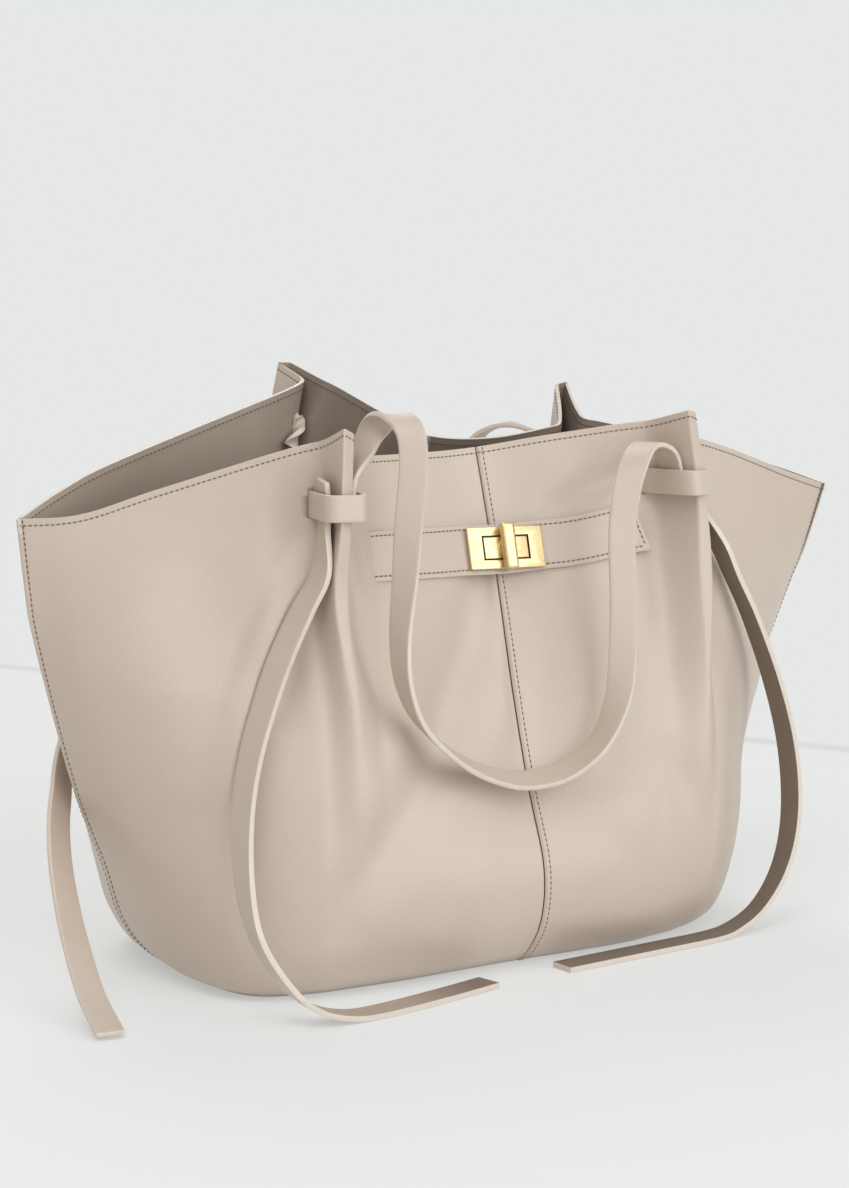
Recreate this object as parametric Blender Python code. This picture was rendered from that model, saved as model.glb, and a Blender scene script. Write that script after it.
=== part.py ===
"""Soft leather shopper bag: gathered walls, a belt with a turn lock, and long tied straps.

Metres, +Z up. X runs along the bag's width, the front faces -Y, and the bag stands on z = 0.
"""

import math

import bmesh
import bpy
import numpy as np
from mathutils import Matrix, Vector
from mathutils.bvhtree import BVHTree

MM = 0.001
GAP = 0.3
HALF_GAP = GAP / 2

# Leather.
WALL_THICK = 2.0
SEAM_OVERRUN_SHARE = 0.6
STRAP_WIDE = 15.0
STRAP_THICK = 3.0
STRAP_EDGE = 0.7
WRAP_TALL = 14.0
WRAP_THICK = 2.4
WRAP_REACH_IN = 11.0
WRAP_CORNER = 0.42
WRAP_EDGE = 0.5
REST_GAP = 0.85
REST_REACH = 16.0
REST_ROUNDS = 5
EDGE_SLACK = 0.4
FLOOR_LIFT = 0.4
SLOT_ROOM = 0.3
SIDE_ROOM = 0.85
TUCK_ROOM = 0.55
WRAP_ROOM = 0.35
TAIL_ROOM = 0.9
PIVOT_LIFT = 1.4

# Heights of the levels that carry the wall's outline, from the floor up. The last two hang from the rim.
LEVEL_Z = (0.0, 9.0, 30.0, 60.0, 100.0, 150.0, 205.0)
NECK_BELOW_RIM = 38.0
RIM_MEAN = 280.0
RIM_FOLLOW_SHARES = (0.0, 0.0, 0.0, 0.0, 0.06, 0.2, 0.5)
RIM_LEVEL = len(LEVEL_Z) + 1

# The outline of each level from the left seam to the right seam: x and y at thirteen stations.
# Stations 3 to 4 and 8 to 9 are the feet of the two pleats.
FRONT = (
    ((-168, 0), (-170, -40), (-157, -74), (-122, -84), (-80, -83), (-40, -79), (0, -75),
     (40, -73), (80, -69), (111, -60), (138, -43), (155, -21), (160, 0)),
    ((-186, 0), (-185, -45), (-169, -84), (-128, -99), (-84, -98), (-41, -94), (0, -89),
     (40, -88), (82, -84), (116, -74), (145, -53), (164, -26), (171, 0)),
    ((-202, 0), (-196, -45), (-174, -88), (-131, -107), (-88, -108), (-42, -106), (0, -103),
     (41, -102), (83, -97), (119, -86), (149, -61), (170, -30), (180, 0)),
    ((-212, 0), (-203, -45), (-176, -86), (-132, -108), (-90, -110), (-43, -109), (0, -104.5),
     (42, -105), (85, -102), (121, -91), (153, -64), (176, -31), (189, 0)),
    ((-227, 0), (-212, -40), (-178, -78), (-130, -103), (-91, -103), (-43, -96), (0, -87),
     (42, -93), (87, -98), (122, -91), (154, -63), (180, -30), (196, 0)),
    ((-240, 0), (-220, -33), (-180, -64), (-127, -90), (-94, -89), (-43, -78), (0, -69),
     (43, -77), (90, -86), (121, -85), (160, -57), (194, -27), (212, 0)),
    ((-251, 0), (-226, -23), (-182, -46), (-124, -70), (-97, -68), (-42, -59), (0, -52),
     (44, -60), (93, -69), (117, -70), (166, -48), (210, -22), (237, 0)),
    ((-254, 0), (-228, -18), (-184, -38), (-112, -63), (-103, -61), (-42, -47), (0, -39),
     (44, -49), (97, -57), (106, -56), (162, -42), (220, -17), (250, 0)),
    ((-258, 0), (-228, -15), (-188, -31), (-116, -60), (-98, -52), (-42, -33), (0, -25),
     (42, -38), (90, -57), (104, -50), (155, -40), (217, -15), (258, 0)),
)
BACK = (
    ((-168, 0), (-166, 32), (-148, 63), (-112, 74), (-76, 76), (-38, 77), (0, 76),
     (40, 76), (80, 75), (112, 69), (141, 51), (158, 26), (160, 0)),
    ((-186, 0), (-182, 38), (-162, 74), (-118, 90), (-80, 92), (-40, 92), (0, 91),
     (41, 91), (82, 90), (117, 83), (149, 61), (168, 30), (171, 0)),
    ((-202, 0), (-194, 40), (-170, 79), (-120, 103), (-80, 106), (-40, 106), (0, 104),
     (41, 105), (84, 103), (120, 95), (152, 70), (174, 35), (180, 0)),
    ((-212, 0), (-202, 40), (-174, 79), (-120, 106), (-79, 110), (-38, 109), (0, 106),
     (42, 108), (86, 107), (122, 98), (157, 73), (181, 36), (189, 0)),
    ((-227, 0), (-211, 36), (-176, 71), (-114, 100), (-74, 105), (-34, 99), (0, 93),
     (42, 98), (90, 103), (124, 97), (160, 71), (186, 35), (196, 0)),
    ((-240, 0), (-219, 28), (-178, 57), (-104, 87), (-70, 91), (-28, 83), (0, 76),
     (44, 81), (93, 89), (123, 88), (166, 64), (199, 31), (212, 0)),
    ((-251, 0), (-225, 20), (-180, 42), (-92, 70), (-66, 72), (-24, 64), (0, 58),
     (45, 63), (97, 70), (119, 69), (170, 52), (212, 24), (237, 0)),
    ((-254, 0), (-228, 16), (-184, 34), (-74, 62), (-64, 62), (-24, 51), (0, 45),
     (46, 50), (101, 57), (111, 57), (166, 44), (221, 19), (250, 0)),
    ((-258, 0), (-228, 13), (-190, 25), (-71, 60), (-53, 55), (-24, 43), (0, 33),
     (45, 38), (99, 52), (117, 52), (162, 38), (218, 17), (258, 0)),
)
FRONT_RIM = (247, 250, 264, 287, 279, 277.5, 279, 286, 293, 289, 276, 258, 247)
BACK_RIM = (247, 261, 275, 304, 312, 295, 282, 279, 284, 287, 277, 262, 247)

# Each pleat: how far its ridge stands out at every level, how far it is pinched, and which way it points.
PLEAT_OUT = (0.0, 0.0, 0.0, 1.0, 5.0, 11.0, 19.0, 27.0, 26.0)
PLEAT_PINCH_SHARES = (0.0, 0.0, 0.0, 0.0, 0.0, 0.1, 0.45, 1.0, 0.72)
PLEAT_OPEN = (0.0, 0.0, 0.0, 0.0, 0.0, 0.0, 15.0, 7.2, 11.5)
# How far each pleat's tip leans sideways at the rim.
PLEAT_LEAN = {"front": (4.5, 0.0), "back": (2.0, 3.0)}
PLEAT_RISE = {"front": (6.0, 8.0), "back": (14.0, 22.0)}
PLEAT_WAY = {
    "front": ((-0.16, -0.99), (0.42, -0.91)),
    "back": ((-0.26, 0.97), (0.2, 0.98)),
}
PLEAT_FEET = ((3, 4), (8, 9))

# How the skins are divided into faces.
MIDDLE_PARTS = 3
PLEAT_SHARES = (-0.72, -0.46, -0.22, -0.08, 0.08, 0.22, 0.46, 0.72)
ROWS_BETWEEN = 2

# Base.
BASE_THICK = 2.0
BASE_INSET = 0.8
BOARD_THICK = 2.6
BOARD_INSET = 9.0

# Belt and turn lock, centred on the middle seam.
BELT_TALL = 26.0
BELT_THICK = 2.4
BELT_LEFT_X, BELT_RIGHT_X = -88.0, 86.0
BELT_MID_Z = (225.5, 224.5, 224.0, 227.0, 235.0)
BELT_SLANT = 7.0
BELT_PARTS = 22
BELT_ROW_SHARES = (-0.5, -0.17, 0.17, 0.5)
LOCK_Z = 224.4
LOCK_X = 3.0
LOCK_FLAT_HALF = 25.0
BELT_LIFT = 0.45
FRAME_WIDE, FRAME_TALL, FRAME_THICK = 45.0, 23.5, 2.2
FRAME_LIFT = 0.7
WINDOW_WIDE, WINDOW_TALL = 28.0, 13.6
LOCK_ROOM = 0.8
HUB_LIFT = 0.5
HUB_SUNK = 0.2
POST_ROUND = 1.5
POST_APART = 9.0
POST_SOCKET = 0.8
PANEL_HOLE_LONG = 60.0
SPINDLE_ROUND = 2.5
SPINDLE_ROOM = 0.06
BORE_DEEP = 3.0
SPINDLE_SOCKET = 1.0
BAR_WIDE, BAR_TALL, BAR_THICK = 8.2, 26.5, 5.4
BAR_LIFT = 1.0
BAR_EDGE = 1.6
WASHER_WIDE, WASHER_TALL, WASHER_THICK = 34.0, 17.0, 1.2
WASHER_EDGE = 0.3
METAL_EDGE = 0.5
ROUND_SIDES = 24

# Middle lines of the straps: x, y, z, and which way the width runs.
HANDLES = {
    "front": (
        (-99.0, -73, 248, -0.16, -0.99, 0), (-97.8, -72, 264, -0.16, -0.99, 0),
        (-93.5, -70, 281, 0.35, -0.94, 0), (-88.0, -71.5, 294, 0.7, -0.71, 0),
        (-82.5, -82.5, 301, 0.93, -0.37, 0), (-78.5, -94, 295, 0.93, -0.37, 0),
        (-78.0, -98, 277, 0.9, -0.44, 0), (-82.0, -101, 249, 0.8, -0.6, 0),
        (-85.5, -104, 221, 0.55, -0.83, 0), (-89.5, -106.5, 188, 0.25, -0.97, 0),
        (-87.5, -108, 163, 0.1, -0.98, -0.1), (-76.0, -107, 141, 0, -0.95, -0.25),
        (-50.0, -103.5, 120, 0, -0.92, -0.38), (-24.0, -100, 108.5, 0, -0.9, -0.42),
        (-5.0, -98, 105.5, 0, -0.9, -0.42), (15.0, -100, 109, 0, -0.92, -0.38),
        (33.0, -104, 123, 0.15, -0.95, -0.25), (44.0, -105, 146, 0.55, -0.83, -0.1),
        (47.5, -103.5, 170, 0.88, -0.47, 0), (48.5, -102, 200, 0.97, -0.24, 0),
        (50.0, -100, 238, 0.97, -0.24, 0), (56.0, -98.5, 263, 0.92, -0.39, 0),
        (65.0, -92.5, 277, 0.8, -0.6, 0), (76.0, -81.5, 283.5, 0.72, -0.69, 0),
        (88.5, -71.5, 279, 0.62, -0.78, 0), (96.2, -65.5, 268, 0.5, -0.87, 0),
        (99.4, -68.4, 255, 0.42, -0.91, 0),
    ),
    "back": (
        (-62.0, 77.5, 260, -0.26, 0.97, 0), (-60.0, 77, 275, -0.1, 0.99, 0),
        (-55.5, 74, 288, 0.35, 0.94, 0), (-50.0, 76, 297, 0.8, 0.6, 0),
        (-46.0, 86, 300, 0.96, 0.28, 0), (-44.0, 97, 293, 0.96, 0.28, 0),
        (-44.0, 102, 275, 0.96, 0.28, 0), (-45.0, 104, 240, 0.97, 0.24, 0),
        (-46.0, 107, 200, 0.85, 0.53, 0), (-44.0, 111, 165, 0.5, 0.86, 0),
        (-36.0, 112, 142, 0.15, 0.96, -0.2), (-14.0, 109.5, 121, 0, 0.92, -0.38),
        (10.0, 106.5, 110, 0, 0.9, -0.42), (30.0, 106.5, 108, 0, 0.9, -0.42),
        (50.0, 109, 115, 0, 0.92, -0.38), (68.0, 112, 134, 0.15, 0.95, -0.2),
        (76.0, 112, 160, 0.55, 0.83, 0), (76.0, 109, 195, 0.88, 0.47, 0),
        (70.0, 106, 235, 0.97, 0.24, 0), (66.0, 102.5, 260, 0.92, 0.39, 0),
        (69.5, 95, 275.5, 0.82, 0.57, 0), (80.0, 84.5, 282.5, 0.66, 0.75, 0),
        (90.0, 76.0, 280.5, 0.36, 0.93, 0), (98.4, 73.5, 268, 0.4, 0.92, 0),
        (98.0, 73.0, 252, 0.2, 0.98, 0),
    ),
}
TAILS = {
    "front_left": (
        (-121.5, -78.5, 220, 0.15, -0.99, 0), (-131.5, -79, 203, 0.35, -0.94, 0),
        (-143.5, -81, 182, 0.45, -0.89, 0), (-155.0, -84.5, 158.5, 0.42, -0.91, 0),
        (-165.5, -88.5, 131.5, 0.35, -0.94, 0), (-173.5, -96, 101, 0.25, -0.97, 0),
        (-178.0, -107.5, 72, 0.12, -0.99, 0), (-177.0, -118.5, 46, 0, -1, 0),
        (-167.5, -129, 24.5, 0, -1, 0), (-153.0, -135.5, 9.5, 0, -1, 0),
        (-132.0, -135, 2.6, 0.1, -0.99, 0), (-108.0, -132, 1.8, 0.2, -0.98, 0),
        (-70.0, -122, 1.8, 0.26, -0.97, 0), (-38.0, -112, 1.8, 0.28, -0.96, 0),
    ),
    "front_right": (
        (128.5, -74, 225, 0.2, -0.98, 0), (138.0, -75.5, 206, 0.15, -0.99, 0),
        (152.0, -75, 182, 0.1, -0.99, 0), (171.0, -72, 145, 0.05, -1, 0),
        (184.0, -70, 110, 0, -1, 0), (189.5, -70, 78, 0, -1, 0),
        (186.5, -72, 51, 0, -1, 0), (176.0, -74.5, 29, -0.1, -0.99, 0),
        (160.0, -77.5, 12, -0.15, -0.98, 0), (140.0, -82, 3.6, -0.2, -0.98, 0),
        (118.0, -88, 1.8, -0.2, -0.98, 0), (72.0, -95, 1.8, -0.15, -0.99, 0),
        (12.0, -104, 1.8, -0.12, -0.99, 0),
    ),
    "back_left": (
        (-84.0, 78.5, 247, -0.45, 0.75, 0.3),
        (-99.0, 82, 230, -0.6, 0.4, 0.6), (-126.0, 79, 203, -0.68, 0, 0.7),
        (-160.0, 69, 172, -0.68, -0.2, 0.68), (-192.0, 52, 143, -0.68, -0.3, 0.66),
        (-216.0, 33, 118, -0.7, -0.3, 0.63), (-231.0, 13, 93, -0.8, -0.25, 0.5),
        (-238.5, -6, 70, -0.88, -0.2, 0.4), (-243.0, -29, 47, -0.93, -0.1, 0.3),
        (-247.0, -56, 28, -0.97, 0, 0.2), (-250.0, -82, 13.5, -0.99, 0.05, 0.1),
        (-252.0, -112, 2.9, -0.99, 0.1, 0),
    ),
    "back_right": (
        (129.0, 82, 220, 0, 1, 0), (141.0, 89, 200, 0, 1, 0),
        (158.0, 95, 170, 0, 1, 0), (174.0, 100, 135, 0, 1, 0),
        (184.0, 105, 100, 0, 1, 0), (186.0, 110, 70, 0, 1, 0),
        (180.0, 114, 42, 0, 1, 0), (164.0, 117, 19, 0, 1, 0),
        (144.0, 119, 5.4, 0.05, 1, 0), (122.0, 121, 1.8, 0.1, 0.99, 0),
        (80.0, 126, 1.8, 0.12, 0.99, 0), (34.0, 132, 1.8, 0.12, 0.99, 0),
    ),
}
HANDLE_STEPS, TAIL_STEPS, WRAP_STEPS = 72, 38, 28
# These tails have a round top end that turns between the pleat and the band. The other is cut below the band.
TUCKED = ("front_left", "front_right", "back_right")
ROUND_TURNS = (80.0, 60.0, 40.0, 20.0)
# Which way the tail that isn't tucked swings out.
LOOSE_AWAY = (-0.74, 0.67)
# Middle height of the wrap that ties each pleat.
WRAP_Z = {"front_left": 255.0, "front_right": 260.0, "back_left": 267.0, "back_right": 258.6}
# Where the straps leave the wraps: how far out along the pleat's side, and how far above or below the middle.
END_OUT, END_LOW, END_HIGH = 12.4, 6.0, 13.0
TAIL_OUT, TAIL_HIDDEN = 13.0, 4.0
END_TALL = 4.0
SIDE_SHARES = (0.0, 0.25, 0.5, 0.75)

# Colours and surface of each material.
LEATHER = (0.66, 0.565, 0.485)
STRAP_COLOUR = (0.7, 0.6, 0.52)
LINING_COLOUR = (0.36, 0.27, 0.2)
BRASS = (0.83, 0.61, 0.25)
BOARD = (0.16, 0.12, 0.1)


def clear_scene():
    for obj in list(bpy.data.objects):
        bpy.data.objects.remove(obj, do_unlink=True)


def make_material(name, colour, roughness, metallic):
    """A plain shader with this base colour, roughness and metallic value."""
    material = bpy.data.materials.new(name)
    material.use_nodes = True
    shader = material.node_tree.nodes["Principled BSDF"]
    shader.inputs["Base Color"].default_value = (*colour, 1.0)
    shader.inputs["Roughness"].default_value = roughness
    shader.inputs["Metallic"].default_value = metallic
    return material


def make_object(name, mesh, material):
    obj = bpy.data.objects.new(name, mesh)
    bpy.context.scene.collection.objects.link(obj)
    mesh.materials.append(material)
    return obj


def make_active(obj):
    for other in bpy.context.selected_objects:
        other.select_set(False)
    obj.select_set(True)
    bpy.context.view_layer.objects.active = obj


def apply_all(obj):
    make_active(obj)
    for modifier in list(obj.modifiers):
        bpy.ops.object.modifier_apply(modifier=modifier.name)


def set_origin(obj, place):
    """Puts the object's own origin at this place, in millimetres, and leaves its shape where it is."""
    spot = Vector(place) * MM
    obj.data.transform(Matrix.Translation(-spot))
    obj.location = spot


def smooth(obj, degrees=40.0):
    mesh = obj.data
    mesh.shade_smooth()
    mesh.set_sharp_from_angle(angle=math.radians(degrees))


def catmull(points, per_span):
    """A smooth line through the points, with this many steps between each two."""
    points = np.asarray(points, float)
    ends = np.vstack([2 * points[0] - points[1], points, 2 * points[-1] - points[-2]])
    rows = []
    for i in range(1, len(ends) - 2):
        a, b, c, d = ends[i - 1], ends[i], ends[i + 1], ends[i + 2]
        for t in np.arange(per_span) / per_span:
            rows.append(b + 0.5 * t * ((c - a) + t * ((2 * a - 5 * b + 4 * c - d)
                                                    + t * (3 * (b - c) + d - a))))
    rows.append(points[-1])
    return np.array(rows)


def even_steps(points, steps):
    """The same line divided into steps of equal length."""
    along = np.concatenate([[0], np.cumsum(np.linalg.norm(np.diff(points[:, :3], axis=0), axis=1))])
    wanted = np.linspace(0, along[-1], steps + 1)
    return np.stack([np.interp(wanted, along, column) for column in points.T], axis=-1)


def level_heights(rim):
    """Height of every level below one station of the rim."""
    low = [z + share * (rim - RIM_MEAN) for z, share in zip(LEVEL_Z, RIM_FOLLOW_SHARES)]
    return low + [rim - NECK_BELOW_RIM, rim]


def pleat_place(share, out, pinch, opening, foot_wide):
    """Where one line of a pleat lies: its place between the feet and its distance out."""
    side = abs(share)
    narrow = opening / max(foot_wide, opening)
    folded = narrow * min(1.0, side / 0.1) ** 0.6 + (1 - narrow) * side ** 4
    place = (1 - pinch) * share + pinch * math.copysign(folded, share)
    soft = 0.5 + 0.5 * math.cos(math.pi * side)
    sharp = min(1.0, 1.06 * (1 - side) ** 0.85)
    return 0.5 + 0.5 * place, out * ((1 - pinch) * soft + pinch * sharp)


def level_rows(side, level):
    """One level of a wall as a row of points from the left seam to the right seam."""
    table = np.array((FRONT if side == "front" else BACK)[level], float)
    rims = FRONT_RIM if side == "front" else BACK_RIM
    heights = np.array([level_heights(rim)[level] for rim in rims])
    stations = np.column_stack([table, heights])
    lines = catmull(stations, MIDDLE_PARTS)
    row = []
    for i in range(len(stations) - 1):
        row.append(lines[i * MIDDLE_PARTS])
        feet = [k for k, foot in enumerate(PLEAT_FEET) if foot[0] == i]
        if not feet:
            row.extend(lines[i * MIDDLE_PARTS + j] for j in range(1, MIDDLE_PARTS))
            continue
        left, right = stations[i], stations[i + 1]
        foot_wide = np.linalg.norm((right - left)[:2])
        way = np.array(PLEAT_WAY[side][feet[0]] + (0.0,))
        for share in PLEAT_SHARES:
            place, out = pleat_place(
                share, PLEAT_OUT[level], PLEAT_PINCH_SHARES[level], PLEAT_OPEN[level], foot_wide
            )
            point = left + (right - left) * place + way * out
            if level == RIM_LEVEL:
                point[0] += PLEAT_LEAN[side][feet[0]] * out / PLEAT_OUT[-1]
                point[2] += PLEAT_RISE[side][feet[0]] * out / PLEAT_OUT[-1]
            row.append(point)
    row.append(stations[-1])
    return np.array(row)


def wall_grid(side):
    """The outer face of a wall: rows of points in metres, from the base edge to the rim."""
    levels = np.stack([level_rows(side, level) for level in range(len(FRONT))])
    columns = [catmull(levels[:, i], ROWS_BETWEEN) for i in range(levels.shape[1])]
    return np.stack(columns, axis=1) * MM


FRONT_GRID = wall_grid("front")
BACK_GRID = wall_grid("back")


def grid_mesh(name, grid, flip):
    """A sheet of quads through the grid."""
    bm = bmesh.new()
    verts = [[bm.verts.new(point) for point in row] for row in grid]
    for low, high in zip(verts[:-1], verts[1:]):
        for i in range(len(low) - 1):
            corners = [low[i], low[i + 1], high[i + 1], high[i]]
            bm.faces.new(corners[::-1] if flip else corners)
    mesh = bpy.data.meshes.new(name)
    bm.to_mesh(mesh)
    bm.free()
    return mesh


def keep_side(obj, point, normal):
    """Cuts the body with a plane, keeps the side that the normal points away from, and closes it."""
    bm = bmesh.new()
    bm.from_mesh(obj.data)
    parts = bm.verts[:] + bm.edges[:] + bm.faces[:]
    cut = bmesh.ops.bisect_plane(
        bm, geom=parts, plane_co=point, plane_no=normal, clear_outer=True, dist=1e-7
    )
    rims = [edge for edge in cut["geom_cut"] if isinstance(edge, bmesh.types.BMEdge)]
    open_rims = [edge for edge in rims if edge.is_valid and edge.is_boundary]
    bmesh.ops.holes_fill(bm, edges=open_rims)
    bmesh.ops.triangulate(bm, faces=[face for face in bm.faces if len(face.verts) > 4])
    bmesh.ops.recalc_face_normals(bm, faces=bm.faces[:])
    bm.to_mesh(obj.data)
    bm.free()


def cut_away(obj, cutter):
    """Takes the cutter's shape out of the body."""
    modifier = obj.modifiers.new("cut", "BOOLEAN")
    modifier.operation = "DIFFERENCE"
    modifier.solver = "EXACT"
    modifier.object = cutter
    apply_all(obj)


def make_box(name, size, matrix, material, edge=0.0):
    """A box of this size in millimetres, placed by the matrix, with its edges broken."""
    bm = bmesh.new()
    bmesh.ops.create_cube(bm, size=1.0)
    bmesh.ops.scale(bm, vec=Vector(size) * MM, verts=bm.verts[:])
    if edge:
        bmesh.ops.bevel(bm, geom=bm.edges[:], offset=edge * MM, segments=2, affect="EDGES", profile=0.5)
    bmesh.ops.transform(bm, matrix=matrix, verts=bm.verts[:])
    mesh = bpy.data.meshes.new(name)
    bm.to_mesh(mesh)
    bm.free()
    return make_object(name, mesh, material)


def make_rod(name, radius, length, matrix, material):
    bm = bmesh.new()
    bmesh.ops.create_cone(
        bm, cap_ends=True, segments=ROUND_SIDES, radius1=radius * MM, radius2=radius * MM, depth=length * MM
    )
    bmesh.ops.transform(bm, matrix=matrix, verts=bm.verts[:])
    mesh = bpy.data.meshes.new(name)
    bm.to_mesh(mesh)
    bm.free()
    return make_object(name, mesh, material)


def ribbon(name, middle, ways, wide, thick, material, closed=False, edge=STRAP_EDGE):
    """A flat strap along the middle line, its width lying along the ways, in millimetres.

    The width is one number, or one for every point."""
    half = np.broadcast_to(np.asarray(wide, float) * 0.5, len(middle))[:, None]
    ahead = np.roll(middle, -1, axis=0) - np.roll(middle, 1, axis=0)
    if not closed:
        ahead[0], ahead[-1] = middle[1] - middle[0], middle[-1] - middle[-2]
    ahead /= np.linalg.norm(ahead, axis=1)[:, None]
    ways = ways - ahead * (ways * ahead).sum(axis=1)[:, None]
    ways /= np.linalg.norm(ways, axis=1)[:, None]
    bm = bmesh.new()
    left = [bm.verts.new(p) for p in (middle - ways * half) * MM]
    right = [bm.verts.new(p) for p in (middle + ways * half) * MM]
    count = len(middle)
    for i in range(count if closed else count - 1):
        j = (i + 1) % count
        bm.faces.new([left[i], left[j], right[j], right[i]])
    mesh = bpy.data.meshes.new(name)
    bm.to_mesh(mesh)
    bm.free()
    obj = make_object(name, mesh, material)
    solid = obj.modifiers.new("thickness", "SOLIDIFY")
    solid.thickness = thick * MM
    solid.offset = 0.0
    bevel = obj.modifiers.new("edges", "BEVEL")
    bevel.width = edge * MM
    bevel.segments = 1
    bevel.limit_method = "ANGLE"
    bevel.angle_limit = math.radians(60)
    apply_all(obj)
    smooth(obj)
    return obj


def strap_path(points, steps):
    """The strap's middle line and width directions in even steps."""
    line = even_steps(catmull(points, 8), steps)
    return line[:, :3], line[:, 3:]


def build_walls(material):
    """Front and back walls, each of two panels that meet at the middle seam and the side seams."""
    panels = {}
    for side in ("front", "back"):
        grid = FRONT_GRID if side == "front" else BACK_GRID
        sign = -1.0 if side == "front" else 1.0
        for half in ("left", "right"):
            name = f"{side}_{half}_panel"
            wide = grid.copy()
            # The ends run past the side seam, so that the cut there makes a mitre.
            wide[:, 0] += (wide[:, 0] - wide[:, 1]) * SEAM_OVERRUN_SHARE
            wide[:, -1] += (wide[:, -1] - wide[:, -2]) * SEAM_OVERRUN_SHARE
            panel = make_object(name, grid_mesh(name, wide, side == "back"), material)
            solid = panel.modifiers.new("leather", "SOLIDIFY")
            solid.thickness = WALL_THICK * MM
            solid.offset = -1.0
            apply_all(panel)
            keep_side(panel, (0, sign * HALF_GAP * MM, 0), (0, -sign, 0))
            toward = 1.0 if half == "left" else -1.0
            keep_side(panel, (-toward * HALF_GAP * MM, 0, 0), (toward, 0, 0))
            keep_side(panel, (0, 0, 0), (0, 0, -1))
            smooth(panel, 50)
            panels[side, half] = panel
    return panels


def base_outline(inset):
    """The base panel's outline: the lower edge of both walls, moved in."""
    front = FRONT_GRID[0] / MM
    back = BACK_GRID[0] / MM
    ring = np.vstack([front, back[::-1][1:-1]])[:, :2]
    ahead = np.roll(ring, -1, axis=0) - np.roll(ring, 1, axis=0)
    inward = np.column_stack([-ahead[:, 1], ahead[:, 0]])
    inward /= np.linalg.norm(inward, axis=1)[:, None]
    return ring + inward * inset


def make_slab(name, outline, low, high, material):
    """A flat piece with this outline between two heights."""
    bm = bmesh.new()
    face = bm.faces.new([bm.verts.new((x * MM, y * MM, low * MM)) for x, y in outline])
    raised = bmesh.ops.extrude_face_region(bm, geom=[face])["geom"]
    tops = [part for part in raised if isinstance(part, bmesh.types.BMVert)]
    bmesh.ops.translate(bm, vec=(0, 0, (high - low) * MM), verts=tops)
    bmesh.ops.recalc_face_normals(bm, faces=bm.faces[:])
    mesh = bpy.data.meshes.new(name)
    bm.to_mesh(mesh)
    bm.free()
    return make_object(name, mesh, material)


def build_base(leather, board, panels):
    """The base panel closes the bottom inside the walls' lower edge, and a stiff board lies on it."""
    cutter = make_slab("base_cutter", base_outline(BASE_INSET - GAP), -BASE_THICK, BASE_THICK + GAP, board)
    for panel in panels.values():
        cut_away(panel, cutter)
    bpy.data.objects.remove(cutter, do_unlink=True)
    make_slab("base_panel", base_outline(BASE_INSET), 0.0, BASE_THICK, leather)
    lying = BASE_THICK + GAP
    make_slab("base_board", base_outline(BOARD_INSET), lying, lying + BOARD_THICK, board)


def front_depth(x, z):
    """The y of the front wall's outer face at this x and height, in millimetres."""
    first = 3 * MIDDLE_PARTS + len(PLEAT_SHARES) + 1
    rows = FRONT_GRID[:, first:first + 4 * MIDDLE_PARTS + 1] / MM
    at_x = np.array([[np.interp(x, row[:, 0], row[:, i]) for i in (1, 2)] for row in rows])
    return float(np.interp(z, at_x[:, 1], at_x[:, 0]))


def belt_depth(x, z):
    """The same under the belt, which bridges the hollow of the middle seam in a straight line."""
    low, high = LOCK_X - LOCK_FLAT_HALF, LOCK_X + LOCK_FLAT_HALF
    if not low < x < high:
        return front_depth(x, z)
    return float(np.interp(x, (low, high), (front_depth(low, z), front_depth(high, z))))


def lock_axes():
    """The foot of the lock and the ways that point across, up and out of it."""
    half = FRAME_TALL * 0.5
    rise = belt_depth(LOCK_X, LOCK_Z + half) - belt_depth(LOCK_X, LOCK_Z - half)
    run = belt_depth(LOCK_X + half, LOCK_Z) - belt_depth(LOCK_X - half, LOCK_Z)
    across = Vector((2 * half, run, 0)).normalized()
    up = Vector((0, rise, 2 * half))
    up = (up - across * up.dot(across)).normalized()
    foot = Vector((LOCK_X, belt_depth(LOCK_X, LOCK_Z), LOCK_Z))
    return foot, across, up, across.cross(up)


def lock_matrix(out, up=0.0, across=0.0):
    """Places a piece of the lock: its own Z points out of the bag and its own Y up."""
    foot, across_way, up_way, out_way = lock_axes()
    turn = Matrix((across_way, up_way, out_way)).transposed().to_4x4()
    place = foot + out_way * out + up_way * up + across_way * across
    return Matrix.Translation(place * MM) @ turn


def hollow_depth():
    """How far the wall lies behind the lock's flat, at most, within the washer."""
    foot, across_way, up_way, out_way = lock_axes()
    deepest = 0.0
    for x in np.linspace(LOCK_X - WASHER_WIDE * 0.5, LOCK_X + WASHER_WIDE * 0.5, 15):
        for z in np.linspace(LOCK_Z - WASHER_TALL * 0.5, LOCK_Z + WASHER_TALL * 0.5, 5):
            spot = Vector((x, front_depth(x, z), z)) - foot
            deepest = max(deepest, -spot.dot(out_way))
    return deepest


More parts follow.
